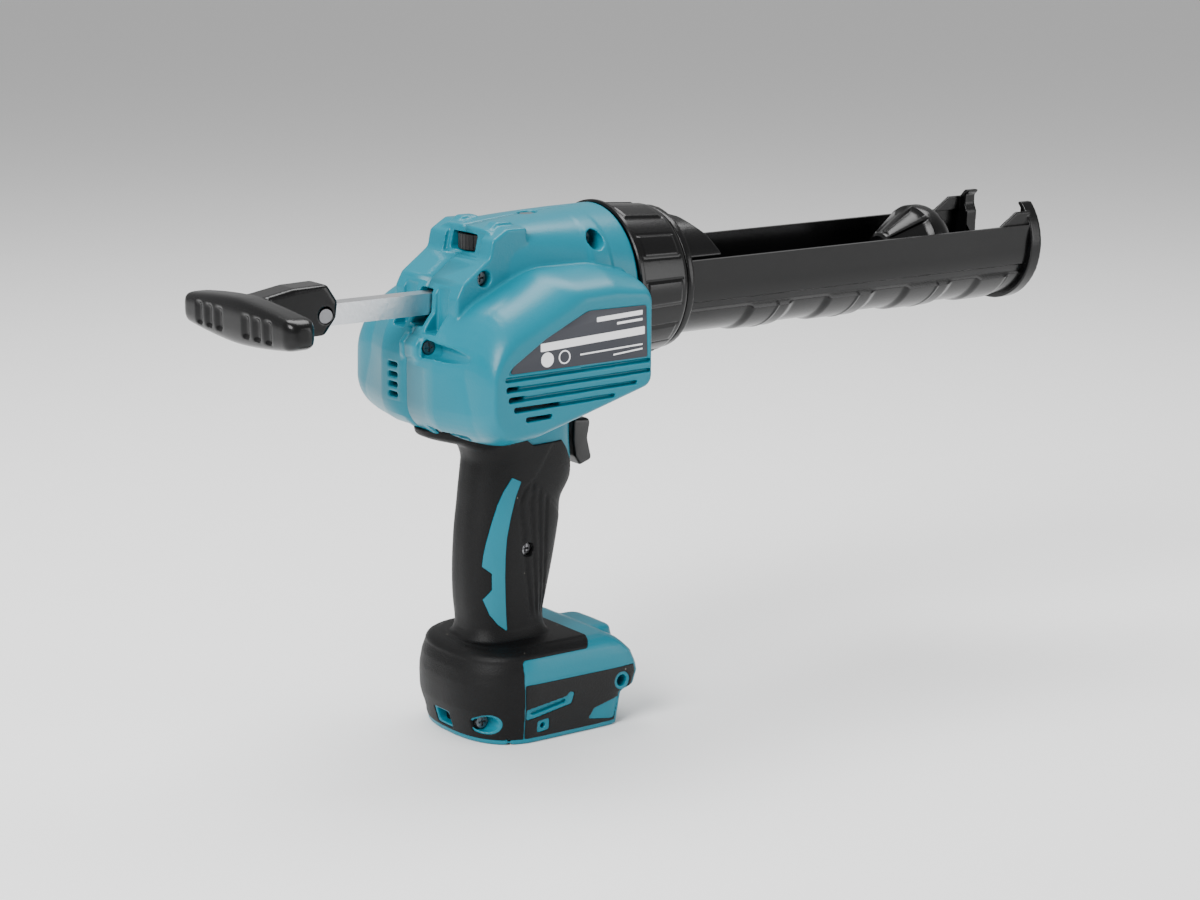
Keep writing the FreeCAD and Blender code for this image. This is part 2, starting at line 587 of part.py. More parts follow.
def make_rack_guides():
    slot = block(-60, 60, -RACK_HALF_WIDTH - 0.2, RACK_HALF_WIDTH + 0.2, -5.7, RACK_TOP + RUN)
    rear = block(-33.5, -24, -6.2, 6.2, -8.2, 7.4).cut(slot)
    front = block(24, 39, -6.2, 6.2, -8.2, 7.4).cut(slot)
    save("rear_rack_guide", rear)
    save("front_rack_guide", front)


# --------------------------------------------------------------- rod assembly
def make_rod():
    save("rack", rack_bar())
    half = HANDLE_BAR_LENGTH / 2
    bar_front = HANDLE_REAR + HANDLE_BAR_DEPTH
    tip_half, mid_half = 6.8, HANDLE_BAR_HEIGHT / 2
    bar = cross_plate([(-half, -tip_half), (-half, tip_half), (-20, mid_half - 0.6), (0, mid_half),
                       (20, mid_half - 0.6), (half, tip_half), (half, -tip_half),
                       (20, -mid_half + 0.6), (0, -mid_half), (-20, -mid_half + 0.6)],
                      HANDLE_REAR, bar_front)
    bar = bar.makeFillet(4.0, [e for e in bar.Edges
                               if abs(e.BoundBox.YMin) > half - 1 and e.BoundBox.XLength < 1])
    neck = side_plate([(bar_front - 1, NECK_LOW + 2), (-99, NECK_LOW + 2), (-91.5, -3),
                       (HANDLE_NECK_FRONT, 6), (-95, NECK_HIGH), (bar_front - 1, NECK_HIGH - 1)],
                      -NECK_HALF_WIDTH, NECK_HALF_WIDTH)
    handle = bar.fuse(neck)
    handle = handle.cut(block(RACK_REAR, -80, -RACK_HALF_WIDTH, RACK_HALF_WIDTH,
                              RACK_PITCH_Z - ADDENDUM * RACK_MODULE, RACK_TOP))
    screw_axis = (HANDLE_SCREW_X, HANDLE_SCREW_Z)
    handle = handle.cut(rod_y(screw_axis, HANDLE_SCREW_R, -10, 7))
    handle = handle.cut(rod_y(screw_axis, 3.6, -10, -5.6))
    save("pull_handle", handle.removeSplitter())
    save("handle_screw", fused([rod_y(screw_axis, HANDLE_SCREW_R, -5.8, 6.5),
                                rod_y(screw_axis, 3.3, -7.6, -5.6)]))
    piston = cone_x(PISTON_HUB_R, PISTON_R - 1.5, PISTON_REAR, PISTON_SHOULDER)
    piston = piston.fuse(rod_x(PISTON_R, PISTON_SHOULDER, PISTON_FRONT - 8))
    piston = piston.fuse(cone_x(PISTON_R, PISTON_R - 5, PISTON_FRONT - 8, PISTON_FRONT))
    piston = piston.cut(block(PISTON_REAR - 1, RACK_FRONT, -RACK_HALF_WIDTH, RACK_HALF_WIDTH,
                              RACK_PITCH_Z - ADDENDUM * RACK_MODULE, RACK_TOP))
    piston = piston.cut(rod_x(PISTON_SCREW_R, RACK_FRONT - 1, PISTON_FRONT + 1))
    save("piston", piston.removeSplitter())
    washer = rod_x(8.0, PISTON_FRONT, PISTON_FRONT + 1.2).cut(
        rod_x(PISTON_SCREW_R, PISTON_FRONT - 1, PISTON_FRONT + 2))
    save("piston_washer", washer)
    head = rod_x(4.4, PISTON_FRONT + 1.2, PISTON_FRONT + 4.2)
    save("piston_screw", head.fuse(rod_x(PISTON_SCREW_R, RACK_FRONT - 17,
                                         PISTON_FRONT + 1.2)).removeSplitter())


# ----------------------------------------------------------- nose and holder
def make_nose():
    sleeve = rod_x(NOSE_R, NOSE_REAR, NOSE_FRONT)
    sleeve = sleeve.cut(rod_x(CUP_R, CUP_FLOOR, NOSE_FRONT + 1))
    sleeve = sleeve.cut(block(NOSE_REAR - 1, CUP_FLOOR + 1, -5.0, 5.0, -5.8, 4.8))
    save("nose_sleeve", sleeve)
    ring = rod_x(RING_LIP_R, RING_REAR, RING_REAR + 2.5)
    ring = ring.fuse(cone_x(RING_REAR_R, RING_FRONT_R, RING_REAR + 2.5, RING_FRONT))
    for k in range(RING_PADS):
        groove = block(RING_REAR + 5, RING_FRONT - 3, -1.0, 1.0, RING_FRONT_R - 0.2, 45)
        groove.rotate(V(0, 0, 0), V(1, 0, 0), 360 * (k + 0.5) / RING_PADS)
        ring = ring.cut(groove)
    ring = ring.cut(rod_x(RING_BORE_R, RING_REAR - 1, RING_FRONT - 3))
    ring = ring.cut(rod_x(RING_MOUTH_R, RING_REAR - 1, RING_FRONT + 1))
    save("retaining_ring", ring.removeSplitter())


def u_profile(radius, top):
    """Half round below the axis, upright walls above it, up to top."""
    low = Part.Arc(V(0, -radius, 0), V(0, 0, -radius), V(0, radius, 0)).toShape()
    corners = [V(0, radius, 0), V(0, radius, top), V(0, -radius, top), V(0, -radius, 0)]
    sides = [Part.LineSegment(a, b).toShape() for a, b in zip(corners, corners[1:])]
    return Part.Face(Part.Wire([low] + sides))


def trough_prism(radius, top, x0, x1):
    shape = u_profile(radius, top).extrude(V(x1 - x0, 0, 0))
    shape.translate(V(x0, 0, 0))
    return shape


def rolled(shape):
    shape = shape.copy()
    shape.rotate(V(0, 0, 0), V(1, 0, 0), HOLDER_ROLL)
    return shape


def make_holder():
    bore = rod_x(TROUGH_INNER_R, 70, 130)
    collar = rod_x(RING_BORE_R - 0.4, NOSE_FRONT + 0.3, RING_FRONT - 3.3)
    collar = collar.fuse(rod_x(RING_MOUTH_R - 0.4, NOSE_FRONT + 0.3, 83))
    collar = collar.fuse(rod_x(FLANGE_R, RING_FRONT + 0.6, 84.5)).cut(bore)
    hood = rod_x(31.0, 84.5, 112).cut(bore)
    hood = hood.cut(side_plate([(88, 40), (88, 30.5), (114, RIM_HEIGHT), (114, 40)], -40, 40))
    hood = hood.cut(block(84, 113, -40, 40, -40, RIM_HEIGHT))
    save("holder_collar", rolled(collar.fuse(hood).removeSplitter()))
    wall = trough_prism(TROUGH_R, RIM_HEIGHT, 84.5, TROUGH_FRONT)
    for k in range(4):
        x = RIB_FIRST + k * RIB_PITCH
        low, high = x - 15, min(x + 17, TROUGH_FRONT - 8)
        hump = trough_prism(TROUGH_R + 1.2, 1, low, high)
        wall = wall.fuse(hump.common(block(low, high, -24, 24, -40, -8)))
    wall = wall.cut(trough_prism(TROUGH_INNER_R, RIM_HEIGHT + 1, 84, TROUGH_FRONT + 1))
    for side in (-1, 1):
        y0, y1 = sorted((side * (TROUGH_R - 0.9), side * (TROUGH_R + 3)))
        wall = wall.cut(block(87, TROUGH_FRONT - 1, y0, y1, -12.5, -8.8))
    save("holder_trough", rolled(wall.removeSplitter()))
    plate = rod_x(PLATE_R, TROUGH_FRONT, PLATE_FRONT)
    plate = plate.cut(block(TROUGH_FRONT - 1, PLATE_FRONT + 1, -50, 50, PLATE_TOP, 50))
    plate = plate.cut(rod_x(PLATE_SLOT, TROUGH_FRONT - 1, PLATE_FRONT + 1))
    plate = plate.cut(block(TROUGH_FRONT - 1, PLATE_FRONT + 1, -PLATE_SLOT, PLATE_SLOT, 0, 50))
    gusset = side_plate([(GUSSET_REAR, RIM_HEIGHT), (TROUGH_FRONT, RIM_HEIGHT),
                         (TROUGH_FRONT, GUSSET_TOP), (295, GUSSET_TOP)],
                        TROUGH_INNER_R - 2, TROUGH_INNER_R)
    plate = plate.fuse(gusset).fuse(mirrored(gusset))
    save("holder_front_plate", rolled(plate.removeSplitter()))


# ------------------------------------------------------- controls and contacts
def make_controls():
    outline = [(34, -62), (43.6, -62.6), (42.2, -71.6), (44.4, -82.8), (37.4, -85),
               (34.6, -80), (33.7, -72)]
    lever = side_plate(outline, -TRIGGER_HALF_WIDTH, TRIGGER_HALF_WIDTH)
    stem = block(20, 35, -6, 6, -80, -64.5)
    pocket = rod_x(4.0, 19, 31, 0, -72)
    save("trigger", lever.fuse(stem).cut(pocket).removeSplitter())
    body = block(-12, 10, -9, 9, -83.5, -64)
    plunger_bore = rod_x(2.1, 0, 11, 0, -72)
    save("switch_body", body.cut(plunger_bore))
    save("switch_plunger", rod_x(2.0, 7.5, 31, 0, -72))
    coil_path = Part.makeHelix(2.6, 20.4, 3.1)
    coil_path.rotate(V(0, 0, 0), V(0, 1, 0), 90)
    start = V(0, 0, 0) + coil_path.Vertexes[0].Point
    profile = Part.Wire(Part.makeCircle(0.35, start, V(0, 1, 0)))
    coil = Part.Wire(coil_path).makePipeShell([profile], True, True)
    coil.translate(V(10.3, 0, -72))
    save("trigger_spring", coil)
    wheel = rod_z(DIAL_R, DIAL_X, 0, DIAL_LOW, DIAL_HIGH)
    for k in range(36):
        a = math.radians(10 * k)
        wheel = wheel.cut(rod_z(0.55, DIAL_X + (DIAL_R + 0.15) * math.cos(a),
                                (DIAL_R + 0.15) * math.sin(a), DIAL_LOW - 1, DIAL_HIGH + 1))
    wheel = wheel.cut(rod_z(3.04, DIAL_X, 0, DIAL_LOW - 1, DIAL_LOW + 4))
    save("speed_dial", wheel)
    board = block(-20, 8, -13, 13, 14.5, 16.1)
    pot = rod_z(7.0, DIAL_X, 0, 16.1, DIAL_LOW - 1.2)
    post = rod_z(3.0, DIAL_X, 0, DIAL_LOW - 2, DIAL_LOW + 3.8)
    save("dial_potentiometer", fused([board, pot, post]))


def make_electrics():
    board = block(-24, 26, -22, 22, -179, -177.4)
    save("control_board", board)
    chips = [block(-20, -8, -16, -4, -177.4, -172.6), block(-4, 8, -14, -2, -177.4, -174),
             block(12, 24, 4, 16, -177.4, -174.6)]
    save("board_components", Part.makeCompound(chips))
    terminal = block(-21, 6, -20, 20, -196, -183)
    slots = [block(-8, 7, y - 2, y + 2, -194.5, -187) for y in (-14, 0, 14)]
    for slot in slots:
        terminal = terminal.cut(slot)
    save("terminal_block", terminal)
    blades = [block(-8, 4, y - 0.5, y + 0.5, -194.2, -187.3) for y in (-14, 0, 14)]
    save("battery_contacts", Part.makeCompound(blades))


def make_labels():
    outline = [(38.0, -1.6), (38.8, -24.8), (-35.0, -25.2), (-35.5, -23.6), (-16.0, -10.4),
               (7.4, -1.2)]
    for name, side in (("name_plate_right", -1), ("name_plate_left", 1)):
        y0, y1 = sorted((side * BODY_HALF_WIDTH, side * (BODY_HALF_WIDTH - 0.6)))
        save(name, side_plate(outline, y0, y1))
    return [side_plate(outline, -70, -BODY_HALF_WIDTH + 0.6),
            side_plate(outline, BODY_HALF_WIDTH - 0.6, 70)]


# --------------------------------------------------------------------- build
def main():
    os.makedirs("parts", exist_ok=True)
    grip_skin, rear_skin, panel = make_covers()
    right_shell, left_shell = make_shells()
    for plate_pocket in make_labels():
        right_shell = right_shell.cut(plate_pocket)
        left_shell = left_shell.cut(plate_pocket)
    save("housing_right", largest(right_shell))
    save("housing_left", largest(left_shell))
    save("grip_cover", largest(grip_skin.cut(right_shell).cut(left_shell)))
    save("base_rear_cover", largest(rear_skin.cut(right_shell).cut(left_shell)))
    panel = largest(panel.cut(left_shell))
    save("base_panel_left", panel)
    save("base_panel_right", mirrored(panel))
    save("shell_screws", make_screws())
    save("top_screw", fused([rod_z(1.6, 13.3, 0, 22, 33.6), rod_z(3.4, 13.3, 0, 33.6, 35.4)]))
    centre, middle, outer = make_gear_frame()
    save("gear_frame", centre)
    save("gear_frame_middle_plate", middle)
    save("gear_frame_outer_plate", outer)
    make_drive()
    make_pinion()
    make_motor()
    make_rack_guides()
    make_rod()
    make_nose()
    make_holder()
    make_controls()
    make_electrics()


main()
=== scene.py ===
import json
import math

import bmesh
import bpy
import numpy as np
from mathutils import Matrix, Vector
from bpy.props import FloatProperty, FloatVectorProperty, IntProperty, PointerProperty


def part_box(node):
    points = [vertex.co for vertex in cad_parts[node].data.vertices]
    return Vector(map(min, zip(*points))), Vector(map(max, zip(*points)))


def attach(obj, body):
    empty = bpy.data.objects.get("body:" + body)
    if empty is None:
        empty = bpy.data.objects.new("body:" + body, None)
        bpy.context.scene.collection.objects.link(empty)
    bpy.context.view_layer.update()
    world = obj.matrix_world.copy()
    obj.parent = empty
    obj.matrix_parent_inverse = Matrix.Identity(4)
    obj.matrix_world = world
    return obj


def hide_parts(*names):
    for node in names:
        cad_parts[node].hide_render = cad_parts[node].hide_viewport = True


bl_info = {
    "name": "Caulking Gun Looks",
    "version": (1, 0, 0),
    "blender": (4, 5, 0),
    "location": "View3D > Sidebar > Caulking Gun",
    "description": "Dresses the packed caulking gun with its moulded shells, rubber, trough and steel",
    "category": "Object",
}

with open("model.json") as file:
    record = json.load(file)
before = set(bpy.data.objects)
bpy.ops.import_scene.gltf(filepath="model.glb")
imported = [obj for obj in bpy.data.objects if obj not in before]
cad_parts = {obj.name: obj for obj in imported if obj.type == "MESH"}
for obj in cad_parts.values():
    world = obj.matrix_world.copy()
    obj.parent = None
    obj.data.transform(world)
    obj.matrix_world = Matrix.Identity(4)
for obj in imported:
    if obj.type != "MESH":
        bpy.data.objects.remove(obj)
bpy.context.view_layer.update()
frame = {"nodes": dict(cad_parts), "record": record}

# Shapes are worked out in millimetres, with heights measured from the cartridge
# axis; placed() turns them into the frame's metres.
MM = 0.001


def cad(node, corner, axis):
    """One face of a CAD node's box: corner 0 is the low side, 1 the high side; axis 0, 1 or 2."""
    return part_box(node)[corner][axis] / MM


AXIS_Z = (cad("nose_sleeve", 0, 2) + cad("nose_sleeve", 1, 2)) / 2
HOLDER_ROLL = 0.0538
SEAM = 0.2
DRUM_FACE = cad("housing_left", 1, 1)
RING_BACK, RING_FRONT = cad("retaining_ring", 0, 0), cad("retaining_ring", 1, 0)
RING_LIP_R = cad("retaining_ring", 1, 1)
HANDLE_BACK, HANDLE_FRONT = cad("pull_handle", 0, 0), cad("pull_handle", 1, 0)
HANDLE_HALF = cad("pull_handle", 1, 1)
PISTON_BACK, PISTON_FRONT = cad("piston", 0, 0), cad("piston", 1, 0)
PISTON_R = cad("piston", 1, 1)
TROUGH_BACK, PLATE_BACK = cad("holder_trough", 0, 0), cad("holder_trough", 1, 0)
PLATE_FRONT = cad("holder_front_plate", 1, 0)
PLATE_R = cad("holder_front_plate", 1, 1)
BASE_LOW = -AXIS_Z


# ------------------------------------------------------------------ settings
class GunColours(bpy.types.PropertyGroup):
    """Colours of the gun's mouldings and metals."""

    teal: FloatVectorProperty(
        name="Teal plastic", description="Colour of the moulded body shells",
        subtype="COLOR", size=3, min=0, max=1, default=(0.0, 0.15, 0.21))
    rubber: FloatVectorProperty(
        name="Rubber", description="Colour of the grip and base covers",
        subtype="COLOR", size=3, min=0, max=1, default=(0.0025, 0.0025, 0.0027))
    black: FloatVectorProperty(
        name="Black plastic", description="Colour of the holder, ring and handle",
        subtype="COLOR", size=3, min=0, max=1, default=(0.0018, 0.0018, 0.002))
    label: FloatVectorProperty(
        name="Name plate", description="Colour of the printed plate on the drum",
        subtype="COLOR", size=3, min=0, max=1, default=(0.008, 0.010, 0.019))
    floor: FloatVectorProperty(
        name="Floor", description="Colour of the studio floor",
        subtype="COLOR", size=3, min=0, max=1, default=(0.92, 0.92, 0.92))


class GunShape(bpy.types.PropertyGroup):
    """Sizes of the finish that a user would change."""

    voxel: FloatProperty(
        name="Moulding detail", description="Edge softness of the moulded shells, in millimetres",
        min=0.4, max=2.0, default=0.62)
    keep: FloatProperty(
        name="Faces kept", description="Share of the fine mesh that is kept in the body shells",
        min=0.1, max=1.0, default=0.4, subtype="FACTOR")
    ring_pads: IntProperty(
        name="Ring pads", description="Raised pads round the retaining ring",
        min=6, max=24, default=10)


# ---------------------------------------------------------------- mesh tools
def placed(points):
    """Millimetres about the cartridge axis to metres in the frame: times 0.001, plus its height."""
    return (np.asarray(points, float) + (0, 0, AXIS_Z)) * MM


def rolled(points):
    """Turned about the cartridge axis by the holder's roll: y cos - z sin, y sin + z cos."""
    x, y, z = np.moveaxis(np.asarray(points, float), -1, 0)
    c, s = math.cos(HOLDER_ROLL), math.sin(HOLDER_ROLL)
    return np.stack([x, y * c - z * s, y * s + z * c], -1)


def tube(rings, fan=True):
    """Closed skin over a stack of closed rings, rings[v, u]: quads between them, and either a
    fan or one flat face at each end."""
    count_v, count_u = rings.shape[:2]
    i, j = np.meshgrid(np.arange(count_u), np.arange(count_v - 1))
    a, b = j * count_u + i, j * count_u + (i + 1) % count_u
    quads = np.stack([a, b, b + count_u, a + count_u], -1).reshape(-1, 4)
    around = np.arange(count_u)
    last = (count_v - 1) * count_u
    if not fan:
        ends = [around[::-1].tolist(), (last + around).tolist()]
        return rings.reshape(-1, 3), quads.tolist() + ends
    total = count_v * count_u
    low_fan = np.stack([np.full(count_u, total), (around + 1) % count_u, around], -1)
    high_fan = np.stack([np.full(count_u, total + 1), last + around,
                         last + (around + 1) % count_u], -1)
    points = np.concatenate([rings.reshape(-1, 3), [rings[0].mean(0)], [rings[-1].mean(0)]])
    return points, quads.tolist() + low_fan.tolist() + high_fan.tolist()


def build(name, parts, turn=None):
    """One mesh object from closed skins, each with its faces turned outwards."""
    points, faces, start = [], [], 0
    for part_points, part_faces in parts:
        points.append(part_points)
        faces += [[index + start for index in face] for face in part_faces]
        start += len(part_points)
    joined = np.concatenate(points)
    joined = placed(turn(joined) if turn else joined)
    mesh = bpy.data.meshes.new(name)
    mesh.from_pydata(joined.tolist(), [], faces)
    work = bmesh.new()
    work.from_mesh(mesh)
    bmesh.ops.recalc_face_normals(work, faces=work.faces)
    work.to_mesh(mesh)
    work.free()
    piece = bpy.data.objects.new(name, mesh)
    bpy.context.scene.collection.objects.link(piece)
    return piece


def settle(piece):
    """Writes the piece's modifiers into its mesh."""
    graph = bpy.context.evaluated_depsgraph_get()
    mesh = bpy.data.meshes.new_from_object(piece.evaluated_get(graph))
    piece.modifiers.clear()
    old, piece.data = piece.data, mesh
    bpy.data.meshes.remove(old)
    return piece


def moulded(piece, voxel, relax=4, keep=1.0):
    """Joins the piece's overlapping skins and softens every edge to about one voxel."""
    remesh = piece.modifiers.new("mould", "REMESH")
    remesh.mode = "VOXEL"
    remesh.voxel_size = voxel * MM
    remesh.use_smooth_shade = True
    if relax:
        smooth = piece.modifiers.new("relax", "SMOOTH")
        smooth.factor = 0.5
        smooth.iterations = relax
    if keep < 1:
        thin = piece.modifiers.new("thin", "DECIMATE")
        thin.ratio = keep
    return settle(piece)


def carved(piece, cutters, name="cutter"):
    """Takes closed cutter skins out of the piece."""
    tool = build(name, cutters)
    carve = piece.modifiers.new("carve", "BOOLEAN")
    carve.operation = "DIFFERENCE"
    carve.solver = "EXACT"
    carve.use_self = True
    carve.object = tool
    settle(piece)
    bpy.data.objects.remove(tool)
    return piece


def halved(piece, name, side):
    """Copy of the piece cut at the middle plane, side 1 for the left, with the seam's gap kept."""
    half = bpy.data.objects.new(name, piece.data.copy())
    bpy.context.scene.collection.objects.link(half)
    work = bmesh.new()
    work.from_mesh(half.data)
    cut = bmesh.ops.bisect_plane(
        work, geom=work.verts[:] + work.edges[:] + work.faces[:], plane_co=(0, side * SEAM * MM, 0),
        plane_no=(0, -side, 0), clear_outer=True)
    rim = [e for e in cut["geom_cut"] if isinstance(e, bmesh.types.BMEdge)]
    bmesh.ops.holes_fill(work, edges=rim)
    work.to_mesh(half.data)
    work.free()
    return half


def finished(piece, body, material, replaces=(), smooth=True):
    """Gives the piece its material, its body and the CAD nodes that it stands for."""
    piece.data.materials.clear()
    piece.data.materials.append(material)
    if smooth:
        piece.data.shade_smooth()
    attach(piece, body)
    if replaces:
        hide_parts(*replaces)
    return piece


# ------------------------------------------------------------- outline tools
def smooth_step(x, low, high):
    """0 below low, 1 above high, 3t2 - 2t3 between."""
    t = np.clip((np.asarray(x, float) - low) / (high - low), 0, 1)
    return t * t * (3 - 2 * t)


def eased(x, knots, values):
    """Smooth curve through the knots: cubic pieces with slopes from the neighbours."""
    knots, values = np.asarray(knots, float), np.asarray(values, float)
    slopes = np.gradient(values, knots)
    x = np.clip(x, knots[0], knots[-1])
    i = np.clip(np.searchsorted(knots, x, "right") - 1, 0, len(knots) - 2)
    h = knots[i + 1] - knots[i]
    t = (x - knots[i]) / h
    return ((2 * t**3 - 3 * t**2 + 1) * values[i] + (t**3 - 2 * t**2 + t) * h * slopes[i]
            + (3 * t**2 - 2 * t**3) * values[i + 1] + (t**3 - t**2) * h * slopes[i + 1])


def superellipse(count, power):
    """Unit loop |u|^p + |v|^p = 1: cosine and sine to the power 2/p, keeping their signs."""
    turn = 2 * np.pi * (np.arange(count) + 0.5) / count
    c, s = np.cos(turn), np.sin(turn)
    power = np.asarray(power, float)[..., None]
    return (np.sign(c) * np.abs(c) ** (2 / power), np.sign(s) * np.abs(s) ** (2 / power))


def rounded_loop(corners, arc=10, straight=8):
    """Closed loop with each corner (a, b, radius) turned by an arc tangent to both its sides."""
    corners = np.asarray(corners, float)
    loop = []
    count = len(corners)
    for k in range(count):
        before, here, after = corners[k - 1, :2], corners[k, :2], corners[(k + 1) % count, :2]
        to_before, to_after = before - here, after - here
        lengths = np.linalg.norm(to_before), np.linalg.norm(to_after)
        to_before, to_after = to_before / lengths[0], to_after / lengths[1]
        angle = math.acos(np.clip(to_before @ to_after, -1, 1))
        reach = min(corners[k, 2] / math.tan(angle / 2), 0.49 * min(lengths))
        radius = reach * math.tan(angle / 2)
        bisector = to_before + to_after
        centre = here + bisector / np.linalg.norm(bisector) * radius / math.sin(angle / 2)
        start, end = here + to_before * reach - centre, here + to_after * reach - centre
        sweep = math.pi - angle
        t = np.linspace(0, 1, arc)[:, None]
        loop.append(centre + (np.sin((1 - t) * sweep) * start + np.sin(t * sweep) * end)
                    / math.sin(sweep))
    full = []
    for k in range(count):
        full.append(loop[k])
        a, b = loop[k][-1], loop[(k + 1) % count][0]
        t = (np.arange(straight) + 1)[:, None] / (straight + 1)
        full.append(a + (b - a) * t)
    return np.concatenate(full)


def along_loop(values, arc=10, straight=8):
    """One value per corner, carried along a rounded loop and blended over the straights."""
    values = np.asarray(values, float)
    t = (np.arange(straight) + 1) / (straight + 1)
    return np.concatenate([
        np.concatenate([np.full(arc, v), v + (w - v) * t])
        for v, w in zip(values, np.roll(values, -1))])


def slab(loop, low, high, axis="y", edge=0.6, steps=3, grow=(0.0, 0.0)):
    """Loop carried from low to high with its two ends rounded: it draws in by edge(1 - cos t)."""
    loop = np.asarray(loop, float)
    middle = loop.mean(0)
    turn = np.linspace(0, np.pi / 2, steps)
    levels = np.concatenate([low + edge * (1 - np.cos(turn)), high - edge * (1 - np.cos(turn[::-1]))])
    inset = np.concatenate([edge * (1 - np.sin(turn)), edge * (1 - np.sin(turn[::-1]))])
    spread = np.linspace(grow[0], grow[1], len(levels))
    offset = loop - middle
    distance = np.linalg.norm(offset, axis=1, keepdims=True)
    rings = middle + offset * (1 + (spread - inset)[:, None, None] / distance)
    level = np.broadcast_to(levels[:, None], rings.shape[:2])
    first, second = rings[..., 0], rings[..., 1]
    order = {"x": (level, first, second), "y": (first, level, second), "z": (first, second, level)}
    return tube(np.stack(order[axis], -1), fan=False)


def bar(start, end, radius, count=32, end_radius=None):
    """Round bar between two points: circles of the radius about the line."""
    start, end = np.asarray(start, float), np.asarray(end, float)
    along = (end - start) / np.linalg.norm(end - start)
    helper = np.array([0, 0, 1.0]) if abs(along[2]) < 0.9 else np.array([1.0, 0, 0])
    side = np.cross(along, helper)
    side /= np.linalg.norm(side)
    up = np.cross(side, along)
    turn = 2 * np.pi * np.arange(count) / count
    circle = np.cos(turn)[:, None] * side + np.sin(turn)[:, None] * up
    other = radius if end_radius is None else end_radius
    return tube(np.stack([start + radius * circle, end + other * circle]))


def brick(x0, x1, y0, y1, z0, z1):
    """Plain box skin for cutters and small blocks."""
    loop = np.array([(x0, z0), (x1, z0), (x1, z1), (x0, z1)], float)
    return tube(np.stack([np.insert(loop, 1, y0, axis=1), np.insert(loop, 1, y1, axis=1)]), fan=False)


def plate(corners, y0, y1):
    """Plain plate skin: an outline of (x, z) corners from y0 to y1."""
    loop = np.asarray(corners, float)
    return tube(np.stack([np.insert(loop, 1, y0, axis=1), np.insert(loop, 1, y1, axis=1)]), fan=False)


# ----------------------------------------------------------------- body shell
# Side outline of the motor drum: x, z and radius where it leaves the barrel,
# x, z and radius of its outer face, how far its back draws in, and the y where
# it starts to round over.
DRUM_CORNERS = np.array([
    (43.6, 10.5, 5, 40.8, 2.6, 4.0, 0.0, 30),
    (43.0, -39.5, 5, 40.4, -36.5, 5.0, 0.0, 46),
    (9.0, -49.5, 22, 9.0, -45.0, 18, 0.0, 44),
    (-20.0, -58.6, 16, -15.0, -50.6, 16, 0.0, 42),
    (-52.4, -60.4, 28, -42.5, -54.0, 22, 5.2, 42),
    (-52.0, -6.0, 34, -42.5, -20.0, 20, 5.2, 36),
    (-4.0, 15.0, 26, 5.0, 2.8, 14, 0.0, 30),
    (24.0, 15.6, 22, 22.0, 3.4, 12, 0.0, 30)])
SPINE_HALF = 22.0
BARREL_ROWS = np.array([        # x, half width, low, high, power
    (-20.0, 25.6, -16.0, 32.6, 5.0),
    (-9.0, 27.6, -18.0, 34.0, 4.0),
    (13.0, 31.4, -24.0, 36.0, 2.9),
    (34.0, 35.2, -32.0, 37.2, 2.3),
    (50.3, 37.0, -37.0, 37.8, 2.0)])
UPPER_WELL, LOWER_WELL = (-47.0, -19.0), (-40.5, -55.4)
REAR_HOLE, FRONT_HOLE = (-27.0, 12.0), (31.0, 25.0)


def drum_skin():
    """Drum across the tool: the outline moves to its face outline over a quarter superellipse."""
    start = rounded_loop(DRUM_CORNERS[:, :3])
    face = rounded_loop(DRUM_CORNERS[:, 3:6])
    draw_in = along_loop(DRUM_CORNERS[:, 6])
    shoulder = along_loop(DRUM_CORNERS[:, 7])
    half = DRUM_FACE * (1 - (1 - np.linspace(0.02, 1, 60)) ** 1.9)
    y = np.concatenate([-half[::-1], half])[:, None]
    reach = np.abs(y)
    narrow = np.clip((reach - SPINE_HALF) / (shoulder + 4 - SPINE_HALF), 0, 1)
    round_over = np.clip((reach - shoulder) / (DRUM_FACE - shoulder), 0, 1)
    blend = 1 - (1 - round_over**1.9) ** (1 / 1.9)
    x = start[:, 0] + draw_in * narrow
    x = x + (face[:, 0] - x) * blend
    z = start[:, 1] + (face[:, 1] - start[:, 1]) * blend
    return tube(np.stack([x, np.broadcast_to(y, x.shape), z], -1))


def barrel_skin():
    """Barrel in line with the cartridge: superellipse sections, squarish behind, round in front."""
    x = np.linspace(BARREL_ROWS[0, 0], BARREL_ROWS[-1, 0], 60)
    half, low, high, power = (eased(x, BARREL_ROWS[:, 0], BARREL_ROWS[:, k]) for k in (1, 2, 3, 4))
    u, v = superellipse(120, power)
    y = half[:, None] * u
    z = ((low + high) / 2)[:, None] + ((high - low) / 2)[:, None] * v
    return tube(np.stack([np.broadcast_to(x[:, None], y.shape), y, z], -1))


def boss_pad():
    """Raised strip round the front screw hole: the barrel's own section, swollen by 0.8 mm."""
    x = np.linspace(25.5, 37.5, 14)
    half, low, high, power = (eased(x, BARREL_ROWS[:, 0], BARREL_ROWS[:, k]) for k in (1, 2, 3, 4))
    rise = 0.9 * np.minimum(1, np.minimum(x - 25.5, 37.5 - x) / 1.2)
    u, v = superellipse(120, power)
    y = (half + rise)[:, None] * u
    z = ((low + high) / 2)[:, None] + ((high - low) / 2 + rise - 0.9)[:, None] * v
    return tube(np.stack([np.broadcast_to(x[:, None], y.shape), y, z], -1))


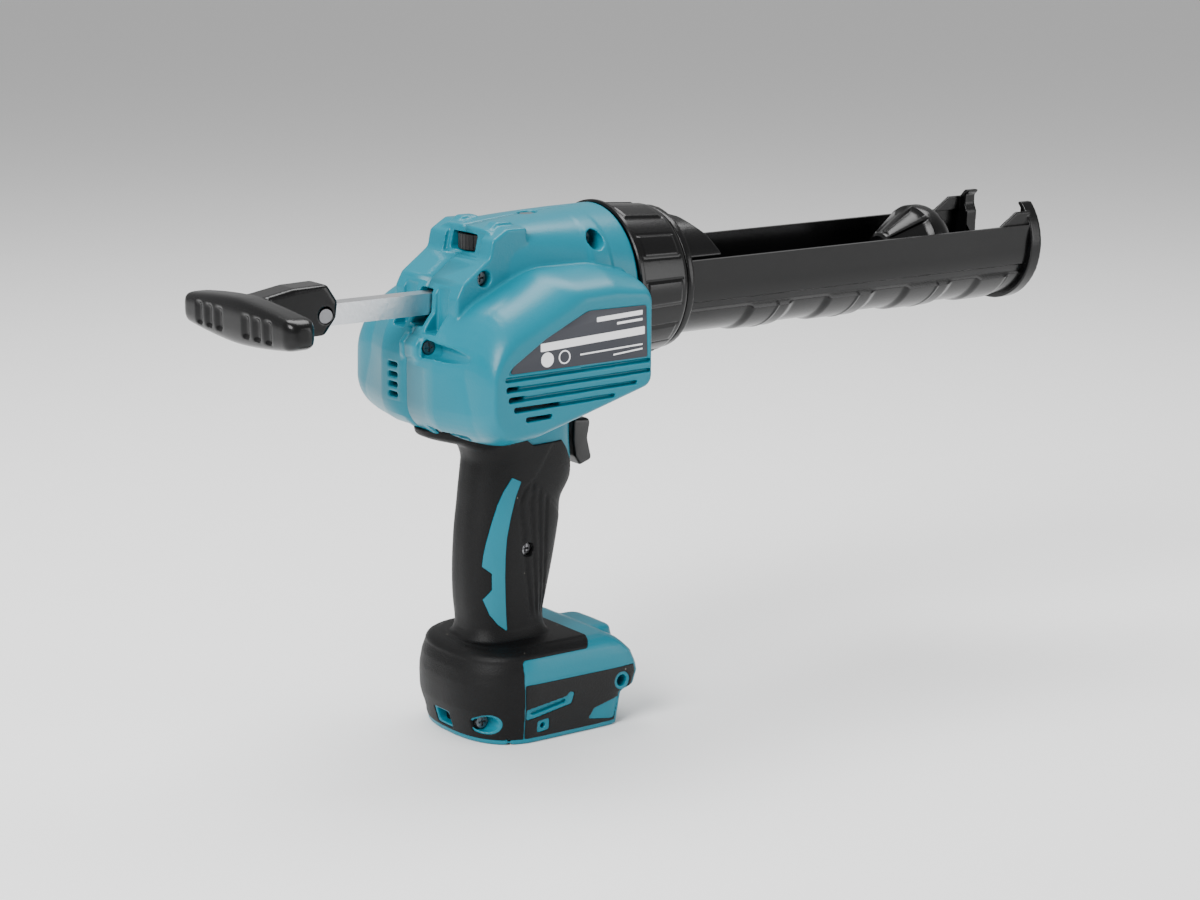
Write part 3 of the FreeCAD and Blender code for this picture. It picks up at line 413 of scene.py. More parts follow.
def tower_skins():
    """Stepped back of the body round the dial window and the rack slot."""
    side = rounded_loop([(-4, 33.2, 1), (-14.5, 33.4, 1.5), (-22.6, 28.5, 2.5), (-24.2, 20.8, 3),
                         (-38.4, 10.2, 1.6), (-41.6, 4.2, 1.0), (-42.6, -14, 1.5), (-4, -18, 1)])
    skins = [slab(side, -26.6, 26.6, edge=1.0)]
    bump = rounded_loop([(-22, 29, 1), (-14.0, 35.3, 0.8), (-7.2, 35.2, 0.8), (-3.4, 32.2, 0.8),
                         (-4, 28, 1)])
    for y0 in (10.6, -17.4):
        skins.append(slab(bump, y0, y0 + 6.8, edge=0.8))
    return skins


def spine_skins():
    """Bosses at the back, above and below the flat of the drum."""
    upper = rounded_loop([(-30, -8, 1), (-43, -12.2, 1.2), (-50.2, -14.2, 1.5), (-53.2, -17.6, 1.2),
                          (-53.0, -23.6, 1.0), (-50.5, -26, 1.0), (-30, -26, 1)])
    lower = rounded_loop([(-30, -46, 1), (-49.2, -49.8, 1.2), (-47.8, -55.4, 3.0),
                          (-43, -59.4, 2.2), (-30, -60.4, 1)])
    return [slab(upper, -9.6, 5.0, edge=0.5), slab(lower, -9.8, 9.4, edge=0.5)]


def body_cutters():
    """Recesses and openings that both sides of the body share."""
    ring_seat = bar((cad("nose_sleeve", 0, 0) - 0.4, 0, 0), (60, 0, 0),
                    cad("nose_sleeve", 1, 1) + 0.15, count=96)
    cutters = [
        ring_seat,
        brick(-60, 60, -5.3, 5.3, -10.4, 5.9),
        plate([(-60, 30.6), (-19.9, 30.6), (-22.3, 20.2), (-60, 20.2)], -16.8, 12.8),
        plate([(-60, 29.2), (-14, 29.2), (-14, 21.2), (-60, 21.2)], -10.3, 10.3),
        bar((13.3, 0, 34.2), (13.3, 0, 50), 4.6, count=40),
        brick(27.0, 60, -8.5, 8.5, -88, -61.2),
        brick(cad("trigger_spring", 1, 0) - 0.5, 60, -6.4, 6.4, -80.5, -64.0),
    ]
    for side in (-1, 1):
        y0, y1 = sorted((side * 8.6, side * 18.5))
        cutters.append(plate([(-60, 7.4), (-39.6, 7.4), (-40.8, -12.6), (-60, -12.6)], y0, y1))
    return cutters


def face_cutters(side):
    """Name plate recess, long grooves and vents in one face of the drum."""
    face = side * DRUM_FACE
    low, high = sorted((face - side * 0.75, face + side * 5))
    label = rounded_loop([(39.0, -0.6, 1.6), (39.6, -25.6, 1.0), (-37.0, -25.8, 1.6),
                          (-34.0, -22.0, 6.0), (-16.6, -11.2, 20.0), (6.4, -0.4, 8.0)])
    cutters = [slab(label, low, high, edge=0.01)]
    rows = ((-37.6, 41.0, -28.6), (-37.2, 41.0, -33.2), (-36.0, 33.0, -37.9), (-33.0, 21.0, -42.6))
    for start, end, z in rows:
        groove = [(start, z), (end, z + 1.2), (end, z + 2.9), (start, z + 2.2)]
        low, high = sorted((face - side * 2.4, face + side * 5))
        cutters.append(plate(groove, low, high))
    openings = ((-36.6, 7.0, -33.0), (-35.6, 8.6, -37.7), (-33.2, 25.0, -42.4), (-27.0, 14.0, -47.4))
    for start, length, z in openings:
        hole = [(start, z), (start + length, z + 0.3), (start + length, z + 2.4), (start, z + 2.3)]
        low, high = sorted((face - side * 9, face + side * 5))
        cutters.append(plate(hole, low, high))
    return cutters


def right_cutters():
    """Screw wells, on the right side only."""
    return [
        bar((UPPER_WELL[0], -9.4, UPPER_WELL[1]), (UPPER_WELL[0], -19.5, UPPER_WELL[1]), 3.3),
        bar((UPPER_WELL[0] - 2.6, -11.0, UPPER_WELL[1]), (UPPER_WELL[0] - 0.4, -43, UPPER_WELL[1] - 1.0),
            4.3, end_radius=2.6),
        bar((LOWER_WELL[0], -9.4, LOWER_WELL[1]), (LOWER_WELL[0], -19.5, LOWER_WELL[1]), 3.3),
        bar((LOWER_WELL[0] - 2.6, -11.0, LOWER_WELL[1] - 1.0),
            (LOWER_WELL[0] - 1.6, -38, LOWER_WELL[1] - 2.0), 6.0, end_radius=3.0),
        bar((REAR_HOLE[0], -20, REAR_HOLE[1]), (REAR_HOLE[0], -50, REAR_HOLE[1]), 3.6),
        bar((FRONT_HOLE[0], -18, FRONT_HOLE[1]), (FRONT_HOLE[0], -50, FRONT_HOLE[1]), 4.4)]


def left_cutters():
    """Small air slots beside the seam, on the left side only."""
    return [plate([(-70, z), (-44, z), (-44, z + 2.2), (-70, z + 2.2)], 8.2, 16.4)
            for z in (-30.5, -35.1, -39.7, -44.3)]


GRIP_ROWS = np.array([          # height, back, front, half width, power
    (-50.0, -24.0, 33.6, 18.0, 2.6),
    (-70.0, -20.2, 33.6, 17.6, 2.6),
    (-84.0, -21.6, 33.9, 17.4, 2.6),
    (-89.5, -22.4, 32.2, 17.2, 2.6),
    (-97.0, -23.2, 27.6, 17.0, 2.6),
    (-107.0, -24.4, 26.0, 16.8, 2.7),
    (-118.0, -25.4, 24.0, 16.6, 2.7),
    (-131.0, -25.8, 21.0, 16.6, 2.7),
    (-142.0, -25.4, 18.2, 16.6, 2.7),
    (-152.0, -24.4, 16.2, 16.8, 2.6),
    (-160.0, -24.0, 17.6, 17.8, 2.6),
    (-168.0, -24.4, 22.0, 19.5, 2.6)])


def grip_rings(heights, inset=0.0, count=200, back_flare=None):
    """Grip sections: superellipses whose back, front and width follow smooth curves of height."""
    z = np.asarray(heights, float)
    knots = -GRIP_ROWS[:, 0]
    back, front, half, power = (eased(-z, knots, GRIP_ROWS[:, k]) for k in (1, 2, 3, 4))
    if back_flare is not None:
        back = back - back_flare
    u, v = superellipse(count, power)
    middle, reach = (back + front) / 2, (front - back) / 2 - inset
    x = middle[:, None] + reach[:, None] * u
    y = (half - inset)[:, None] * v
    return np.stack([x, y, np.broadcast_to(z[:, None], x.shape)], -1)


def neck_skin():
    """Teal top of the grip, just inside the rubber, down to the strip behind the trigger."""
    return tube(grip_rings(np.linspace(-46, -90, 40), inset=1.3))


def make_body(colours, shape):
    """Both body shells: one moulded volume, carved, then split at the seam."""
    whole = build("body", [drum_skin(), barrel_skin(), boss_pad(), *tower_skins(), *spine_skins(),
                           neck_skin()])
    moulded(whole, shape.voxel * 1.1, relax=1)
    carved(whole, body_cutters() + face_cutters(1) + face_cutters(-1) + right_cutters()
           + left_cutters())
    moulded(whole, shape.voxel * 0.9, relax=1, keep=shape.keep * 0.9)
    teal = teal_plastic(colours)
    for name, side in (("body_shell_left", 1), ("body_shell_right", -1)):
        half = halved(whole, name, side)
        node = "housing_left" if side > 0 else "housing_right"
        finished(half, "tool", teal, replaces=(node,))
    bpy.data.objects.remove(whole)


# ------------------------------------------------------------ grip and base
NECK_WINDOW = ((-6, -50), (-2, -62), (0.4, -65.6), (4.6, -69.2), (21.9, -69.0), (25.4, -73.6), (28.6, -80.6),
               (29.8, -87.2), (60, -87.2), (60, -50))
INSERT = ((-6.7, -83.1), (-2.3, -85.4), (-5.2, -92.4), (-7.8, -101.7), (-9.8, -111), (-10.6, -119.8),
          (-11.0, -130), (-10.9, -141.5), (-10.4, -155.6), (-14.7, -151.9), (-18.2, -147), (-20.9, -139.6),
          (-17.1, -135.1), (-17.0, -127.5), (-20.9, -124), (-20.3, -119), (-19.0, -112.6), (-16.6, -103.9),
          (-13.7, -95.2), (-10.6, -88.9))
GROOVE_ROWS = np.array([        # height, then where each groove runs
    (-152.0, 4.0, 7.2, 10.0, 11.9),
    (-119.3, 0.1, 5.1, 9.0, 12.2),
    (-95.5, -2.3, 3.6, 8.2, 12.5),
    (-89.5, 0.0, 4.4, 8.6, 12.6),
    (-85.6, 4.7, 5.6, 9.0, 12.6)])
BASE_ROWS = np.array([          # height, back, front, half width
    (-204.6, -33.0, 40.5, 36.5),
    (-188.5, -37.6, 42.6, 38.0),
    (-186.3, -37.8, 49.6, 38.2),
    (-180.0, -38.0, 52.0, 38.2),
    (-176.0, -37.8, 51.2, 38.1),
    (-170.0, -36.4, 48.6, 37.6),
    (-166.0, -34.6, 44.6, 36.8),
    (-163.4, -32.6, 41.6, 35.4),
    (-161.8, -30.0, 38.6, 32.5),
    (-161.0, -27.0, 36.0, 29.0)])
BASE_WAIST, BASE_SEAM, BASE_BAND = -5.0, -14.0, -175.7
BAY = (-21.0, 33.0, -188.0)
OVAL_WELL, BASE_HOLE = (-28.4, -194.6), (40.4, -183.2)


def bump(x, middle, half):
    """Smooth hump: exp(-((x - middle) / half)^4)."""
    return np.exp(-(((np.asarray(x, float) - middle) / half) ** 4))


def grip_skin():
    """Rubber sleeve: grip sections with a flare under the body, foot at the base, cut grooves."""
    z = np.concatenate([np.linspace(-58, -70, 26), np.linspace(-70.4, -158, 200),
                        np.linspace(-158.5, -168, 20)])
    flare = 20.0 * (1 - smooth_step(-z, 60.5, 70)) + 4.0 * (1 - smooth_step(-z, 64, 77))
    rings = grip_rings(z, count=320, back_flare=flare)
    x, y = rings[..., 0], rings[..., 1]
    top_line = -85.6 - (x - 4.7)
    inside = smooth_step(top_line - z[:, None], 0, 1.6) * smooth_step(z[:, None], -153, -148)
    lines = [np.interp(z, GROOVE_ROWS[:, 0], GROOVE_ROWS[:, k])[:, None] for k in (1, 2, 3, 4)]
    depth = sum(bump(x, line, 0.72) for line in lines) * inside
    border = bump(z[:, None] - top_line, 0, 0.7) * (x > lines[0])
    slope_line = -74.2 + (x - 12.4) * 1.45
    finger = smooth_step(slope_line - z[:, None], -0.6, 0.6) * smooth_step(z[:, None], top_line, top_line + 3)
    depth = 1.0 * np.clip(depth + 0.8 * border, 0, 1) + 0.45 * finger * (x > 2)
    reach = np.clip((np.abs(y) - 5) / 4, 0, 1)
    rings[..., 1] = y - np.sign(y) * depth * reach
    return tube(rings)


def foot_skin():
    """Foot where the rubber spreads from the grip over the base: back and width ease outwards."""
    z = np.linspace(-149, -167, 40)
    spread = np.linspace(0, 1, 40) ** 2.4
    u, v = superellipse(200, 2.8)
    back, front = -23.5 - 7.5 * spread, 15.0 + 9.5 * spread
    half = 16.0 + 12.0 * spread
    x = ((back + front) / 2)[:, None] + ((front - back) / 2)[:, None] * u
    y = half[:, None] * v
    return tube(np.stack([x, y, np.broadcast_to(z[:, None], x.shape)], -1))


def base_rings(low, high, inset=0.0, rows=60):
    """Base sections: superellipse of power 14 ahead of the waist and 2.5 behind it."""
    z = np.linspace(low, high, rows)
    knots = BASE_ROWS[:, 0]
    back, front, half = (np.interp(z, knots, BASE_ROWS[:, k]) for k in (1, 2, 3))
    ahead, behind = superellipse(360, 14), superellipse(360, 2.5)
    u = np.where(ahead[0] > 0, ahead[0], behind[0])
    v = np.where(ahead[0] > 0, ahead[1], behind[1])
    reach = np.where(u > 0, (front - BASE_WAIST)[:, None], (BASE_WAIST - back)[:, None]) - inset
    x = BASE_WAIST + reach * u
    y = (half - inset)[:, None] * v
    return np.stack([x, y, np.broadcast_to(z[:, None], x.shape)], -1)


def panel_edge(low, high, rows=60):
    """Front edge of the side panels at each height: 3.4 mm behind the base's front."""
    return np.interp(np.linspace(low, high, rows), BASE_ROWS[:, 0], BASE_ROWS[:, 2])[:, None] - 3.4


def clipped(rings, low=(-99, -99), high=(99, 99)):
    """Rings pressed into a plan rectangle, so that they end in flat walls."""
    rings = rings.copy()
    rings[..., 0] = np.clip(rings[..., 0], low[0], high[0])
    rings[..., 1] = np.clip(rings[..., 1], low[1], high[1])
    return tube(rings)


def tongue_skin():
    """Flat of the rubber over the base: the base's top sections, ended ahead by a rounded front."""
    rings = base_rings(-165.4, -160.6, inset=-0.35, rows=12)
    x, y = rings[..., 0], rings[..., 1]
    limit = 25.8 - 5.0 * np.clip((np.abs(y) - 27) / 10, 0, 1) ** 2
    rings[..., 0] = np.minimum(x, limit)
    rings[..., 2] += 0.6
    return tube(rings)


def make_rubber(colours, shape):
    """Grip sleeve with the cover round the back of the base, in one moulding."""
    piece = build("grip_rubber", [
        grip_skin(), foot_skin(), clipped(base_rings(-202.4, -161.0), high=(BASE_SEAM, 99)),
        tongue_skin()])
    moulded(piece, shape.voxel, relax=1)
    bay = brick(BAY[0] - 0.4, 60, -BAY[1], BAY[1], -210, BAY[2])
    carved(piece, [
        plate(NECK_WINDOW, -40, 40), bay,
        bar((2.2, -30, -118.5), (2.2, -10.5, -118.5), 3.2),
        bar((OVAL_WELL[0], -60, OVAL_WELL[1]), (OVAL_WELL[0], -20, OVAL_WELL[1]), 5.0),
        bar((OVAL_WELL[0], 20, OVAL_WELL[1]), (OVAL_WELL[0], 60, OVAL_WELL[1]), 5.0),
        brick(-60, -30, -6.3, 6.3, -200.4, -192.4)])
    moulded(piece, shape.voxel * 0.8, relax=2, keep=shape.keep)
    rubber = plastic("grip_rubber", colours.rubber, rough=0.52, grain=0.5, scale=1500, mottle=0.5,
                     dust=0.3, specular=0.2)
    finished(piece, "tool", rubber, replaces=("grip_cover", "base_rear_cover"))


def make_inserts(colours, shape):
    """Teal strips let into both sides of the grip."""
    z = np.linspace(-78, -160, 160)
    outer = grip_rings(z, inset=-0.35, count=320)
    teal = teal_plastic(colours)
    for name, side in (("grip_insert_right", -1), ("grip_insert_left", 1)):
        piece = build(name, [tube(outer)])
        y0, y1 = sorted((side * 5.0, side * 24))
        keeper = build("keeper", [slab(rounded_outline(INSERT, 0.5), y0, y1, edge=0.01)])
        common = piece.modifiers.new("common", "BOOLEAN")
        common.operation = "INTERSECT"
        common.solver = "EXACT"
        common.object = keeper
        bevel = piece.modifiers.new("edge", "BEVEL")
        bevel.width = 0.25 * MM
        bevel.segments = 2
        settle(piece)
        bpy.data.objects.remove(keeper)
        finished(piece, "tool", teal)
        sharpen(piece)


def rounded_outline(corners, radius):
    """Outline of (a, b) corners, all turned with one radius."""
    return rounded_loop([(a, b, radius) for a, b in corners], arc=4, straight=3)


def make_base(colours, shape):
    """Teal base with its battery bay, and the black panels at its sides."""
    core = [tube(base_rings(-204.0, -161.4, inset=0.45)),
            tube(base_rings(-204.6, -202.6, rows=4)),
            clipped(base_rings(BASE_BAND, -161.0), low=(BASE_SEAM + 0.3, -99)),
            clipped(base_rings(-203.5, -161.0), low=(panel_edge(-203.5, -161.0) + 0.3, -99)),
            slab(rounded_loop([(20, -15, 3), (48.4, -13.5, 4), (48.4, 13.5, 4), (20, 15, 3)]), -172, -162.2,
                 axis="z", edge=1.6, grow=(7, 0))]
    piece = build("base_teal", core)
    moulded(piece, shape.voxel, relax=1)
    cutters = [brick(BAY[0], 60, -BAY[1], BAY[1], -210, BAY[2])]
    for side in (-1, 1):
        inner, outer = side * 30.5, side * 60
        cutters += [bar((BASE_HOLE[0], inner, BASE_HOLE[1]), (BASE_HOLE[0], outer, BASE_HOLE[1]), 2.7),
                    bar((-4, side * 33.5, -197), (-4, outer, -197), 1.3),
                    bar((OVAL_WELL[0], side * 18, OVAL_WELL[1]), (OVAL_WELL[0], outer, OVAL_WELL[1]), 4.0)]
        y0, y1 = sorted((side * 35.4, outer))
        cutters.append(plate(((-10.8, -190.9), (8.6, -187.7), (8.6, -186.2), (-10.8, -189.2)), y0, y1))
    cutters.append(brick(-60, -28.0, -5.4, 5.4, -199.6, -193.2))
    carved(piece, cutters)
    moulded(piece, shape.voxel, relax=2, keep=shape.keep)
    teal = teal_plastic(colours)
    finished(piece, "tool", teal)
    black = plastic("base_black", colours.rubber, rough=0.42, grain=0.5, scale=1300, mottle=0.4,
                    dust=0.4, specular=0.25)
    edge = panel_edge(-202.4, BASE_BAND - 0.3)
    for name, side in (("base_side_left", 1), ("base_side_right", -1)):
        low, high = ((BASE_SEAM + 0.3, 31.0), (edge, 99)) if side > 0 else (
            (BASE_SEAM + 0.3, -99), (edge, -31.0))
        panel = build(name, [clipped(base_rings(-202.4, BASE_BAND - 0.3), low=low, high=high)])
        moulded(panel, shape.voxel * 0.8, relax=1)
        holes = [slab(rounded_outline(loop, r), *sorted((side * 25, side * 50)), edge=0.01)
                 for loop, r in SIDE_WINDOWS]
        holes += [bar((BASE_HOLE[0], side * 25, BASE_HOLE[1]), (BASE_HOLE[0], side * 50, BASE_HOLE[1]), 4.3),
                  brick(BAY[0], 60, *sorted((side * BAY[1], 0)), -210, BAY[2])]
        carved(panel, holes)
        moulded(panel, shape.voxel * 0.8, relax=2, keep=shape.keep)
        finished(panel, "tool", black, replaces=("base_panel_left" if side > 0
                                                                  else "base_panel_right",))


SIDE_WINDOWS = (
    (((-13.2, -193.0), (11.2, -189.0), (13.0, -183.6), (10.6, -183.2), (8.4, -185.0), (-13.2, -188.0)), 0.4),
    (((21.6, -198.6), (36.5, -201.2), (38.9, -190.6), (24.6, -194.0)), 0.5),
    (((-7.3, -200.0), (-0.9, -199.4), (-0.7, -193.9), (-7.1, -194.4)), 0.3))


# -------------------------------------------------------------- ring, holder
def turned(profile, count, relief=None, start=0.0):
    """Closed profile of (x, r) carried round the cartridge axis; relief(x, r, angle) is added to r."""
    profile = np.asarray(profile, float)
    angle = start + 2 * np.pi * np.arange(count) / count
    x = np.broadcast_to(profile[:, 0][None], (count, len(profile)))
    r = np.broadcast_to(profile[:, 1][None], x.shape)
    if relief is not None:
        r = r + relief(x, r, angle[:, None])
    points = np.stack([x, r * np.cos(angle)[:, None], r * np.sin(angle)[:, None]], -1)
    i, j = np.meshgrid(np.arange(len(profile)), np.arange(count))
    a = j * len(profile) + i
    b = j * len(profile) + (i + 1) % len(profile)
    c = ((j + 1) % count) * len(profile)
    quads = np.stack([a, b, c + (i + 1) % len(profile), c + i], -1).reshape(-1, 4)
    return points.reshape(-1, 3), quads.tolist()


def make_ring(colours, shape):
    """Retaining ring: a turned band with raised pads; a pad fills 15 of every 36 degrees."""
    outer = [(RING_BACK, 34.0), (RING_BACK, RING_LIP_R - 0.7), (RING_BACK + 0.5, RING_LIP_R),
             (RING_BACK + 2.0, RING_LIP_R), (RING_BACK + 2.7, RING_LIP_R - 0.6),
             (RING_BACK + 3.0, 37.2)]
    run = np.linspace(RING_BACK + 3.4, RING_FRONT - 2.0, 60)
    band = np.stack([run, np.interp(run, (53, 80), (36.9, 35.0))], -1)
    nose = [(RING_FRONT - 1.0, 34.9), (RING_FRONT - 0.2, 34.3), (RING_FRONT, 33.4),
            (RING_FRONT, 31.7), (RING_FRONT - 3, 31.7), (RING_FRONT - 3, 33.9), (RING_BACK, 33.9)]
    profile = np.concatenate([outer, band, nose])
    pitch = 2 * np.pi / shape.ring_pads
    first = math.radians(180 - 69.1)

    def relief(x, r, angle):
        turn = (angle - first + pitch / 2) % pitch - pitch / 2
        half = math.radians(7.6)
        across = smooth_step(-np.abs(turn), -half - 0.018, -half + 0.01)
        along = smooth_step(x, 55.4, 56.4) * (1 - smooth_step(x, 75.4, 76.4))
        rim = np.exp(-((np.abs(turn) - half - 0.035) / 0.014) ** 2) * smooth_step(x, 54.6, 55.2)
        rim = rim * (1 - smooth_step(x, 76.6, 77.2))
        return np.where(r > 34.8, 0.5 * across * along - 0.3 * rim, 0)

    black = black_plastic(colours)
    piece = build("ring_band", [turned(profile, 540, relief)])
    finished(piece, "ring", black, replaces=("retaining_ring",))
    sharpen(piece)


def sharpen(piece, angle=0.5):
    """Keeps hard edges hard where neighbouring faces turn by more than the angle."""
    work = bmesh.new()
    work.from_mesh(piece.data)
    for edge in work.edges:
        edge.smooth = edge.calc_face_angle(0) < angle
    work.to_mesh(piece.data)
    work.free()


def black_plastic(colours):
    return plastic("black_plastic", colours.black, rough=0.24, grain=0.08, scale=700, mottle=0.3,
                   specular=0.28)


def teal_plastic(colours):
    return plastic("teal_plastic", colours.teal, rough=0.33, grain=0.16, scale=800, mottle=0.10,
                   specular=0.3)


HUMPS = ((123, 153), (171, 205), (222, 256), (270, 295))
RING_LINES = (140.8, 191.4, 243.5, 292.0)


def trough_skin():
    """Half-pipe carried along x: outer wall with a channel, a bottom band of humps and fine rings."""
    length = PLATE_BACK + 0.5 - TROUGH_BACK
    x = np.linspace(TROUGH_BACK, TROUGH_BACK + length, 420)
    radius, inner, rim = 28.4, 26.4, 11.8
    quarter = radius * np.pi / 2
    t = np.concatenate([np.linspace(-quarter - rim, -quarter, 14)[:-1], np.linspace(-quarter, quarter, 150),
                        np.linspace(quarter, quarter + rim, 14)[1:]])
    turn = np.clip(t / radius, -np.pi / 2, np.pi / 2)
    above = np.maximum(np.abs(t) - quarter, 0)
    z0 = -radius * np.cos(turn) + above
    hump = sum(smooth_step(x, a, a + 5) * (1 - smooth_step(x, b - 5, b)) for a, b in HUMPS)[:, None]
    line = sum(bump(x[:, None] - 5 * (1 - np.cos(turn)) * 0.4, a, 0.7) for a in RING_LINES)
    channel = smooth_step(z0, -13.6, -12.6) * (1 - smooth_step(z0, -9.2, -8.4))
    in_run = smooth_step(x, TROUGH_BACK + 2, TROUGH_BACK + 3.4)[:, None] * np.ones_like(z0)
    below = 1 - smooth_step(z0, -14.4, -13.2)
    r = radius - 1.1 * channel * in_run + below * (1.3 * hump + 0.35 * line * hump)
    y_out, z_out = r * np.sin(turn), -r * np.cos(turn) + above
    y_in = inner * np.sin(turn[::-1]) * np.ones((len(x), 1))
    z_in = (-inner * np.cos(turn[::-1]) + above[::-1]) * np.ones((len(x), 1))
    y, z = np.concatenate([y_out, y_in], 1), np.concatenate([z_out, z_in], 1)
    return tube(np.stack([np.broadcast_to(x[:, None], y.shape), y, z], -1))


def make_holder(colours, shape):
    """Cartridge holder: collar with its hood, trough and slotted front plate."""
    black = black_plastic(colours)
    trough = build("holder_trough_skin", [trough_skin()], turn=rolled)
    finished(trough, "holder", black, replaces=("holder_trough",))
    sharpen(trough)

    hood_cut = plate([(88.0, 60), (86.0, 31.2), (92.5, 29.4), (99.8, 22.4), (105.5, 12.0), (120, 11.9),
                      (120, 60)], -50, 50)
    collar = build("holder_collar_skin", [
        bar((cad("holder_collar", 0, 0), 0, 0), (82, 0, 0), 31.3, count=160),
        bar((RING_FRONT + 0.6, 0, 0), (84.4, 0, 0), 34.1, count=160),
        bar((84, 0, 0), (111.5, 0, 0), 30.6, count=160)], turn=rolled)
    moulded(collar, shape.voxel, relax=1)
    tool = [bar((60, 0, 0), (130, 0, 0), 28.3, count=160), (rolled(hood_cut[0]), hood_cut[1]),
            brick(84.6, 130, -50, 50, -50, 11.7)]
    carved(collar, tool)
    moulded(collar, shape.voxel * 0.8, relax=2, keep=shape.keep)
    finished(collar, "holder", black, replaces=("holder_collar",))
    lining = turned([(74.4, 28.6), (74.4, 26.4), (84.8, 26.4), (84.8, 28.6)], 160)
    sleeve = build("holder_collar_lining", [(rolled(lining[0]), lining[1])])
    finished(sleeve, "holder", black)
    sharpen(sleeve)

    front = build("holder_front_skin", [bar((PLATE_BACK, 0, 0), (PLATE_FRONT, 0, 0), PLATE_R, count=200)],
                  turn=rolled)
    moulded(front, shape.voxel * 0.8, relax=1)
    slot = rounded_loop([(-18.6, 60, 1), (-18.6, 21.4, 1.0), (-20.6, 19.4, 1.2), (-20.6, 15.0, 2),
                         (-18.6, 11, 3), (-18.6, -18.6, 18.4), (18.6, -18.6, 18.4), (18.6, 11, 3),
                         (20.6, 15.0, 2), (20.6, 19.4, 1.2), (18.6, 21.4, 1.0), (18.6, 60, 1)])
    cut = slab(slot, PLATE_BACK - 5, PLATE_FRONT + 5, axis="x", edge=0.01)
    lid = brick(PLATE_BACK - 5, PLATE_FRONT + 5, -50, 50, 22.4, 60)
    carved(front, [(rolled(cut[0]), cut[1]), (rolled(lid[0]), lid[1])])
    gussets = [plate([(285, 11.4), (PLATE_BACK + 2, 11.4), (PLATE_BACK + 2, 18.5), (295.5, 18.5)],
                     side * 25.4 - 1, side * 25.4 + 1) for side in (-1, 1)]
    webs = build("webs", gussets, turn=rolled)
    join(front, webs)
    moulded(front, shape.voxel * 0.7, relax=2, keep=shape.keep)
    finished(front, "holder", black, replaces=("holder_front_plate",))


def join(piece, other):
    """Adds another object's mesh to the piece."""
    work = bmesh.new()
    work.from_mesh(piece.data)
    work.from_mesh(other.data)
    work.to_mesh(piece.data)
    work.free()
    bpy.data.objects.remove(other)


# -------------------------------------------------------- rod, trigger, plates
def make_rod(colours, shape):
    """Pull handle and piston on the rack."""
    black = black_plastic(colours)
    y = (HANDLE_HALF - 0.1) * np.sin(np.linspace(-np.pi / 2, np.pi / 2, 200))
    reach = np.abs(y) / HANDLE_HALF
    end = np.sqrt(np.clip(1 - np.clip((np.abs(y) - 43.5) / (HANDLE_HALF - 43.5), 0, 1) ** 2.2, 0, 1))
    half_z = (10.3 - 4.0 * reach**1.6) * (0.35 + 0.65 * end)
    depth = 15.0 - 1.2 * reach**2
    u, v = superellipse(160, 4.0)
    x_mid = HANDLE_BACK + 0.1 + depth / 2 + 0.8 * reach**2
    half_x = depth / 2 * (0.3 + 0.7 * end)
    x = x_mid[:, None] + half_x[:, None] * u
    z = 0.45 + half_z[:, None] * v
    notch = sum(bump(np.abs(y), a, 2.6) for a in (12.3, 22.0, 31.5))[:, None]
    rear = smooth_step(-u, 0.9, 0.97) * (1 - smooth_step(np.abs(z), 4.2, 5.2))
    x = x + 1.3 * notch * rear
    handle = build("handle_grip", [
        tube(np.stack([x, np.broadcast_to(y[:, None], x.shape), z], -1)),
        slab(rounded_loop([(-135.5, 11.0, 3), (-128, 10.4, 3), (-112, 13.2, 8), (-95.9, 13.6, 2.5),
                           (-90.7, 5.6, 3), (-91.7, -1.5, 4), (-97.6, -9.0, 3), (-108.3, -9.2, 5),
                           (-128, -9.4, 3), (-135.5, -9.0, 3)]), -8.4, 8.4, edge=2.2, steps=5)])
    moulded(handle, shape.voxel * 0.8, relax=2)
    carved(handle, [bar((-97.2, -20, 0.2), (-97.2, -5.6, 0.2), 3.7),
                    brick(-100, -80, -4.7, 4.7, -5.5, 4.3)])
    moulded(handle, shape.voxel * 0.8, relax=2, keep=shape.keep)
    finished(handle, "rod", black, replaces=("pull_handle",))

    def facets(x, r, angle):
        lobe = np.abs(((angle * 10 / (2 * np.pi)) % 1) - 0.5) * 2
        rib = 1 - smooth_step(lobe, 0.16, 0.3)
        return np.where((x < 249) & (r > 5), -1.6 * (1 - rib) * smooth_step(x, 227, 231)
                        * (1 - smooth_step(x, 245.0, 247.5)), 0)

    half = PISTON_R
    profile = [(PISTON_BACK, 0.2), (PISTON_BACK, 7.6), (PISTON_BACK + 0.5, 8.2)]
    profile += [(s, 8.4 + (s - PISTON_BACK) * 0.6) for s in np.linspace(PISTON_BACK + 1, 245, 30)]
    profile += [(246, half - 1.0), (247, half - 0.3), (248, half), (253, half), (255, half - 0.5),
                (258.5, half - 2.4), (260.6, half - 5), (PISTON_FRONT - 0.3, half - 8), (PISTON_FRONT, half - 10),
                (PISTON_FRONT, 0.2)]
    piston = build("piston_head", [turned(profile, 360, facets)])
    finished(piston, "rod", black, replaces=("piston",))
    sharpen(piston)


def make_trigger(colours, shape):
    """Trigger lever with a finger curve."""
    loop = rounded_loop([(34.0, -62.0, 0.8), (43.4, -62.6, 1.6), (42.0, -71.6, 12), (44.2, -82.6, 1.6),
                         (37.6, -84.8, 1.2), (34.8, -80, 3), (33.8, -72, 6)])
    lever = slab(loop, -7.9, 7.9, edge=1.8, steps=7)
    stem = brick(cad("trigger_spring", 1, 0) + 6.4, 35.5, -5.8, 5.8, -79.8, -64.7)
    piece = build("trigger_lever", [lever, stem])
    black = plastic("trigger_plastic", colours.black, rough=0.36, grain=0.15, scale=900, mottle=0.2)
    finished(piece, "trigger", black, replaces=("trigger",))
    sharpen(piece)


